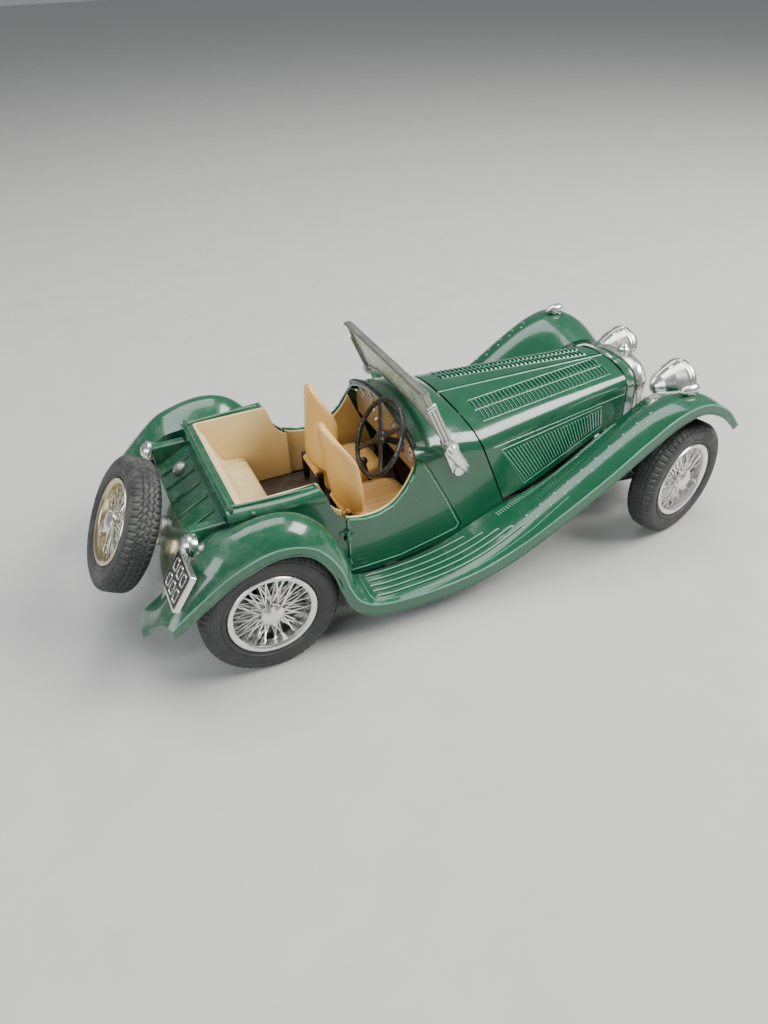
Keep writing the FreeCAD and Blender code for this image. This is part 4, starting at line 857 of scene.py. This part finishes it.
BENCH_HALF = 24.3
BENCH_PROFILE = [(13.4, FLOOR_Z), (13.4, 29.0), (13.2, 30.6), (12.4, 31.6), (10.5, 32.1), (8.0, 32.4), (5.9, 32.8),
                 (4.9, 33.8), (3.4, 37.2), (2.0, 40.6), (1.2, 43.2), (0.4, 44.9), (-0.4, 45.4), (-1.15, 45.5)]
rows = []
BENCH_ROWS = 133
for k in range(BENCH_ROWS):
    y = -BENCH_HALF + 48.6 * k / (BENCH_ROWS - 1)
    row = []
    for j, (x, z) in enumerate(BENCH_PROFILE):
        pleat = 0.42 * (1 - abs(math.sin(math.pi * y / 2.4)) ** 0.5) if 2 < j < 12 and abs(y) < 23.6 else 0.0
        fan = y * (1 + 0.010 * max(0.0, x - 5.0) if abs(y) < 23.0 else 1)
        row.append(P(x - pleat * 0.6, max(-BENCH_HALF, min(BENCH_HALF, fan)), z - pleat))
    row += [P(-1.15, y, 24.2), P(3.3, y, 24.2), P(3.3, y, FLOOR_Z)]
    rows.append(row)
plate("bench_pleated", rows, CREAM, "chassis", ["rear_bench"], 40.0)


# ---------------------------------------------------------------- dashboard and steering

# y, height and radius of each instrument
DIALS = [(-19.0, 46.0, 2.7), (-7.2, 48.4, 2.5), (3.0, 48.6, 1.1), (10.8, 50.8, 1.5), (17.8, 49.0, 1.5)]
dials = Shape("instruments", DIAL_WHITE, DIAL_RED, GLOSS_BLACK, CHROME)
for y, z, radius in DIALS:
    at = facing(P(54.98, y, z), (-1, 0, 0))
    large = radius > 2
    ticks = 10 if large else 6
    face = [(0.01, 0.42), (radius * 0.97, 0.42), (radius * 0.97, 0.0)]
    bezel = [(radius * 0.90, 0.3), (radius * 0.92, 0.62), (radius, 0.62), (radius * 1.05, 0.3),
             (radius * 1.05, 0.0)]
    band = [(radius * 0.66, 0.425), (radius * 0.67, 0.46), (radius * 0.84, 0.46), (radius * 0.85, 0.425)]
    boss = [(0.01, 0.62), (radius * 0.16, 0.6), (radius * 0.17, 0.42)]
    for profile, segments, slot in (
            (face, 40, 0), (bezel, 40, 3), (band, 40, 1 if large else 2), (boss, 16, 2)):
        dials.add(*lathe(profile, segments, at, closed=False), slot)
    for tick in range(ticks):
        spin = at @ Matrix.Rotation(math.radians(130 + 280 * tick / (ticks - 1)), 4, "X")
        dials.add(*local_bar(spin, (0.47, radius * 0.42, 0), (0.47, radius * 0.60, 0), 0.09, 5), 2)
    pointer = at @ Matrix.Rotation(math.radians(150 + 17 * y % 120), 4, "X")
    dials.add(*local_bar(pointer, (0.55, -radius * 0.15, 0), (0.55, radius * 0.7, 0), 0.1, 5), 2)
for y, z in ((-13.4, 47.2), (-13.0, 43.6), (-1.6, 44.4), (2.6, 44.2), (6.6, 44.6), (8.0, 47.6)):
    dials.add(*ball(P(54.9, y, z), 0.75, (-1, 0, 0), squash=1.3), 1 if z < 44.5 else 3)
dials.place("chassis", stands_for=["gauges"])

COLUMN_SLOPE = math.radians(28.6)
wheel_at = facing(P(47.2, -12.5, 50.0), (-math.cos(COLUMN_SLOPE), 0, math.sin(COLUMN_SLOPE)))
helm = Shape("steering_wheel_moulded", GLOSS_BLACK, CHROME)
ring = []
for turn in turns(120):
    grip = 0.80 + 0.07 * math.cos(turn * 40)
    for roll in turns(10):
        r = 12.0 + grip * math.cos(roll)
        ring.append(wheel_at @ (Vector((grip * math.sin(roll), r * math.cos(turn), r * math.sin(turn))) * MM))
helm.add(ring, grid_faces(120, 10, wrap_rows=True, wrap_columns=True))
for k in range(4):
    turn = Matrix.Rotation(math.pi / 2 * (k + 0.5), 4, "X")
    verts = []
    for reach, wide, out in ((1.6, 1.3, -0.2), (4.0, 1.05, -0.5), (8.0, 0.85, -0.35), (12.0, 1.0, 0.0)):
        for roll in turns(8):
            corner = Vector((out + 0.42 * math.sin(roll), wide * math.cos(roll), reach)) * MM
            verts.append(wheel_at @ turn @ corner)
    helm.add(verts, grid_faces(4, 8, wrap_columns=True))
helm.add(*lathe([(0.01, 0.55), (1.5, 0.5), (2.3, 0.1), (2.7, -0.6), (2.5, -1.1), (0.62, -1.15),
                 (0.6, -14.0), (0.01, -14.0)], 32, wheel_at, closed=False))
helm.place("steering_wheel", stands_for=["steering_wheel"])


# ---------------------------------------------------------------- windscreen trim

RAKE = math.radians(22.5)
SCREEN_PIVOT_X = 62.6
SCREEN_PIVOT_Z = 51.4


def screen_point(across, height, out):
    """Point on the screen: height up its plane from the pivots, out towards the radiator."""
    return P(SCREEN_PIVOT_X - height * math.sin(RAKE) + out * math.cos(RAKE), across,
             SCREEN_PIVOT_Z + height * math.cos(RAKE) + out * math.sin(RAKE))


def screen_bar(start, end, radius, sides, flat=1.0):
    return tube([screen_point(*start), screen_point(*end)], radius * MM, sides, flat)


channels = Shape("windscreen_channels", SATIN_SILVER, CHROME, SCREEN_BAR)
for side in (-1, 1):
    for out, radius in ((-1.1, 0.45), (0.0, 0.6), (1.1, 0.45)):
        channels.add(*screen_bar((side * 28.6, 1.8, out), (side * 28.6, 15.6, out), radius, 10), 0)
    channels.add(*screen_bar((side * 28.5, 15.2, -1.5), (side * 28.5, 15.2, 1.5), 0.8, 10), 1)
channels.add(*screen_bar((-28.2, 20.3, 0.0), (28.2, 20.3, 0.0), 1.55, 16, flat=0.52), 2)
channels.place("windscreen")

knobs = Shape("windscreen_knurls", CHROME)
for side in (-1, 1):
    at = facing(P(SCREEN_PIVOT_X, side * 28.7, SCREEN_PIVOT_Z), (0, side, 0))
    for turn in turns(24):
        knobs.add(*local_bar(at @ Matrix.Rotation(turn, 4, "X"), (0.2, 1.98, 0), (2.2, 1.98, 0), 0.17, 6))
    knobs.add(*lathe([(0.01, 3.2), (0.9, 3.1), (1.3, 2.7), (1.5, 2.3)], 20, at, closed=False))
    leaf = mirrored(side, (64.0, 27.2, 49.2), (66.4, 27.8, 45.6), (69.0, 27.9, 41.6), (70.4, 27.4, 38.8))
    widths = [0.75 * MM * (1 - (k / 18) ** 3) + 0.12 * MM for k in range(19)]
    knobs.add(*tube(catmull(leaf, 6), widths, 16, flat=2.3))
    for offset in (-0.75, 0.75):
        flute = [p + Vector((offset * MM, side * 0.55 * MM, offset * 0.5 * MM)) for p in leaf[:3]]
        knobs.add(*tube(flute, 0.32 * MM, 8))
knobs.place("chassis")


# ---------------------------------------------------------------- lamps, plate and small chrome

HEADLAMP = (161.2, 15.9, 43.6)
SIDE_LAMP_Y = 37.6
lens = Shape("headlamp_fluted_lenses", LENS)
for side in (-1, 1):
    at = facing(*mirrored(side, HEADLAMP), (1, 0, 0))
    profile = [(7.0, 0.4), (7.0, 1.5), (6.6, 2.6), (5.8, 4.0), (4.6, 5.2), (3.0, 6.2), (1.4, 6.8), (0.01, 7.0)]
    verts = []
    for radius, out in profile:
        for turn in turns(96):
            y = radius * math.cos(turn)
            flute = 0.12 * math.cos(math.pi * y / 0.5) if out > 1.6 else 0.0
            verts.append(at @ (Vector((out + flute, y, radius * math.sin(turn))) * MM))
    lens.add(verts, grid_faces(len(profile), 96, wrap_columns=True))
lens.place("chassis", 60.0, ["headlamp_lenses"])

chrome = Shape("front_brightwork", CHROME)
for side in (-1, 1):
    at = facing(*mirrored(side, HEADLAMP), (1, 0, 0))
    lamp_rim = [(7.15, 1.3), (7.35, 1.75), (7.8, 1.6), (8.0, 0.9), (8.0, 0.1), (7.7, -0.5)]
    chrome.add(*lathe(lamp_rim, 72, at, closed=False))
    crest = mirrored(side, (151.2, 15.6, 47.4), (154.5, 15.6, 49.6), (158.0, 15.6, 51.3), (161.2, 15.6, 52.0))
    chrome.add(*tube(catmull(crest, 6), 0.55 * MM, 8))
    stay = mirrored(side, (149.0, 12.2, 36.0), (152.0, 14.4, 34.6), (156.4, 17.0, 33.4))
    chrome.add(*tube(catmull(stay, 5), 0.9 * MM, 10))
    for dx in (-2.2, 2.2):
        chrome.add(*ball(P(157.2 + dx, side * 19.8, 33.2), 1.3, (0, 0, 1), squash=0.8))
chrome.place("chassis")

side_lamp = Shape("side_lamp_bodies", CHROME)
for side in (-1, 1):
    torpedo = [(0.05, -4.6), (1.0, -3.9), (1.7, -2.2), (1.95, 0.0), (1.85, 1.6), (1.4, 2.3), (0.8, 2.9),
               (0.05, 3.1)]
    at = facing(P(145.5, side * SIDE_LAMP_Y, 54.2), (1, 0, 0))
    side_lamp.add(*lathe(torpedo, 28, at, closed=False))
    for start, end, radius, sides in (((144.9, SIDE_LAMP_Y, 54.0), (144.7, SIDE_LAMP_Y, 51.8), 0.55, 10),
                                      ((142.6, SIDE_LAMP_Y, 51.9), (147.4, SIDE_LAMP_Y, 52.1), 0.5, 8)):
        side_lamp.add(*tube(mirrored(side, start, end), radius * MM, sides))
side_lamp.place("chassis")

tail = Shape("tail_lamp_rims", CHROME)
for side in (-1, 1):
    at = facing(P(-16.6, side * 27.4, 41.0), (-1, 0, 0.3))
    tail.add(*lathe([(3.0, -0.1), (3.3, 0.2), (3.35, 0.9), (3.1, 1.35), (2.9, 1.3)], 40, at, closed=False))
    tail.add(*lathe([(2.75, 1.4), (2.2, 2.3), (1.3, 2.95), (0.01, 3.15)], 32, at, closed=False))
tail.place("chassis")

plate_at = Matrix.Translation(P(-22.6, -37.3, 38.6)) @ Matrix.Rotation(math.radians(34.0), 4, "Y")
legend = Shape("number_plate_blank_figures", CHROME)
for row in (-1, 1):
    for column in (-1, 0, 1):
        points = []
        for k in range(25):
            turn = 2 * math.pi * k / 24
            y = column * 3.7 + 1.2 * math.copysign(abs(math.cos(turn)) ** 0.6, math.cos(turn))
            z = row * 2.45 + 1.75 * math.copysign(abs(math.sin(turn)) ** 0.6, math.sin(turn))
            points.append(plate_at @ (Vector((-0.72, y, z)) * MM))
        legend.add(*tube(points, 0.22 * MM, 6))
legend.place("chassis")

cap_edge = Shape("filler_cap_knurl", SATIN_SILVER)
cap_at = facing(P(-10.0, 12.0, 40.85), (-5.6, 0, 10.4))
for turn in turns(20):
    cap_edge.add(*local_bar(cap_at @ Matrix.Rotation(turn, 4, "X"), (0.2, 2.2, 0), (1.4, 2.2, 0), 0.16, 5))
cap_edge.place("chassis")

tip = Shape("exhaust_tip", CHROME)
tip.add(*lathe([(1.25, 0.0), (1.35, 0.1), (1.35, 4.0), (1.2, 4.1), (1.0, 4.0), (1.0, 0.2), (0.01, 0.2)], 24,
               facing(P(-17.5, 9.0, 10.6), (-1, 0, 0)), closed=False))
tip.place("chassis")


# ---------------------------------------------------------------- stage, light and camera

floor_data = bpy.data.meshes.new("floor")
floor_data.from_pydata([(-3, -3, 0), (3, -3, 0), (3, 3, 0), (-3, 3, 0)], [], [(0, 1, 2, 3)])
floor = bpy.data.objects.new("floor", floor_data)
bpy.context.scene.collection.objects.link(floor)
floor_data.materials.append(plain("floor_pale", (0.60, 0.60, 0.58), 0.7, dust=0.0, tone=0.03, bump=0.03,
                                  bump_scale=40.0))


def area_light(name, place, target, size, power, colour):
    light = bpy.data.lights.new(name, "AREA")
    light.shape = "RECTANGLE"
    light.size, light.size_y = size
    light.energy = power
    light.color = colour
    lamp = bpy.data.objects.new(name, light)
    bpy.context.scene.collection.objects.link(lamp)
    lamp.location = place
    lamp.rotation_euler = (Vector(target) - Vector(place)).to_track_quat("-Z", "Y").to_euler()


area_light("window", (0.55, -0.25, 0.60), (0, 0, 0.03), (0.5, 0.35), 9.0, (1.0, 0.98, 0.95))
area_light("fill_rear", (-0.70, -0.35, 0.45), (0, 0, 0.03), (0.5, 0.4), 3.2, (0.93, 0.97, 1.0))
area_light("top", (0.0, 0.15, 0.80), (0, 0, 0.03), (0.7, 0.5), 5.0, (1.0, 1.0, 1.0))
world = bpy.data.worlds.new("studio")
bpy.context.scene.world = world
world.use_nodes = True
world.node_tree.nodes["Background"].inputs["Color"].default_value = (0.72, 0.75, 0.78, 1.0)
world.node_tree.nodes["Background"].inputs["Strength"].default_value = 0.36

camera_data = bpy.data.cameras.new("photo_view")
camera_data.sensor_width = 36.0
camera_data.lens = 28.13
camera_data.clip_start = 0.01
camera = bpy.data.objects.new("photo_view", camera_data)
bpy.context.scene.collection.objects.link(camera)
right = Vector((0.90854, -0.4169, -0.02724))
up = Vector((0.26708, 0.52942, 0.80523))
back = -Vector((0.32128, 0.73886, -0.59234))
camera.matrix_world = (Matrix.Translation(P(-36.36, -206.32, 176.71))
                       @ Matrix((right, up, back)).transposed().to_4x4())
bpy.context.scene.camera = camera
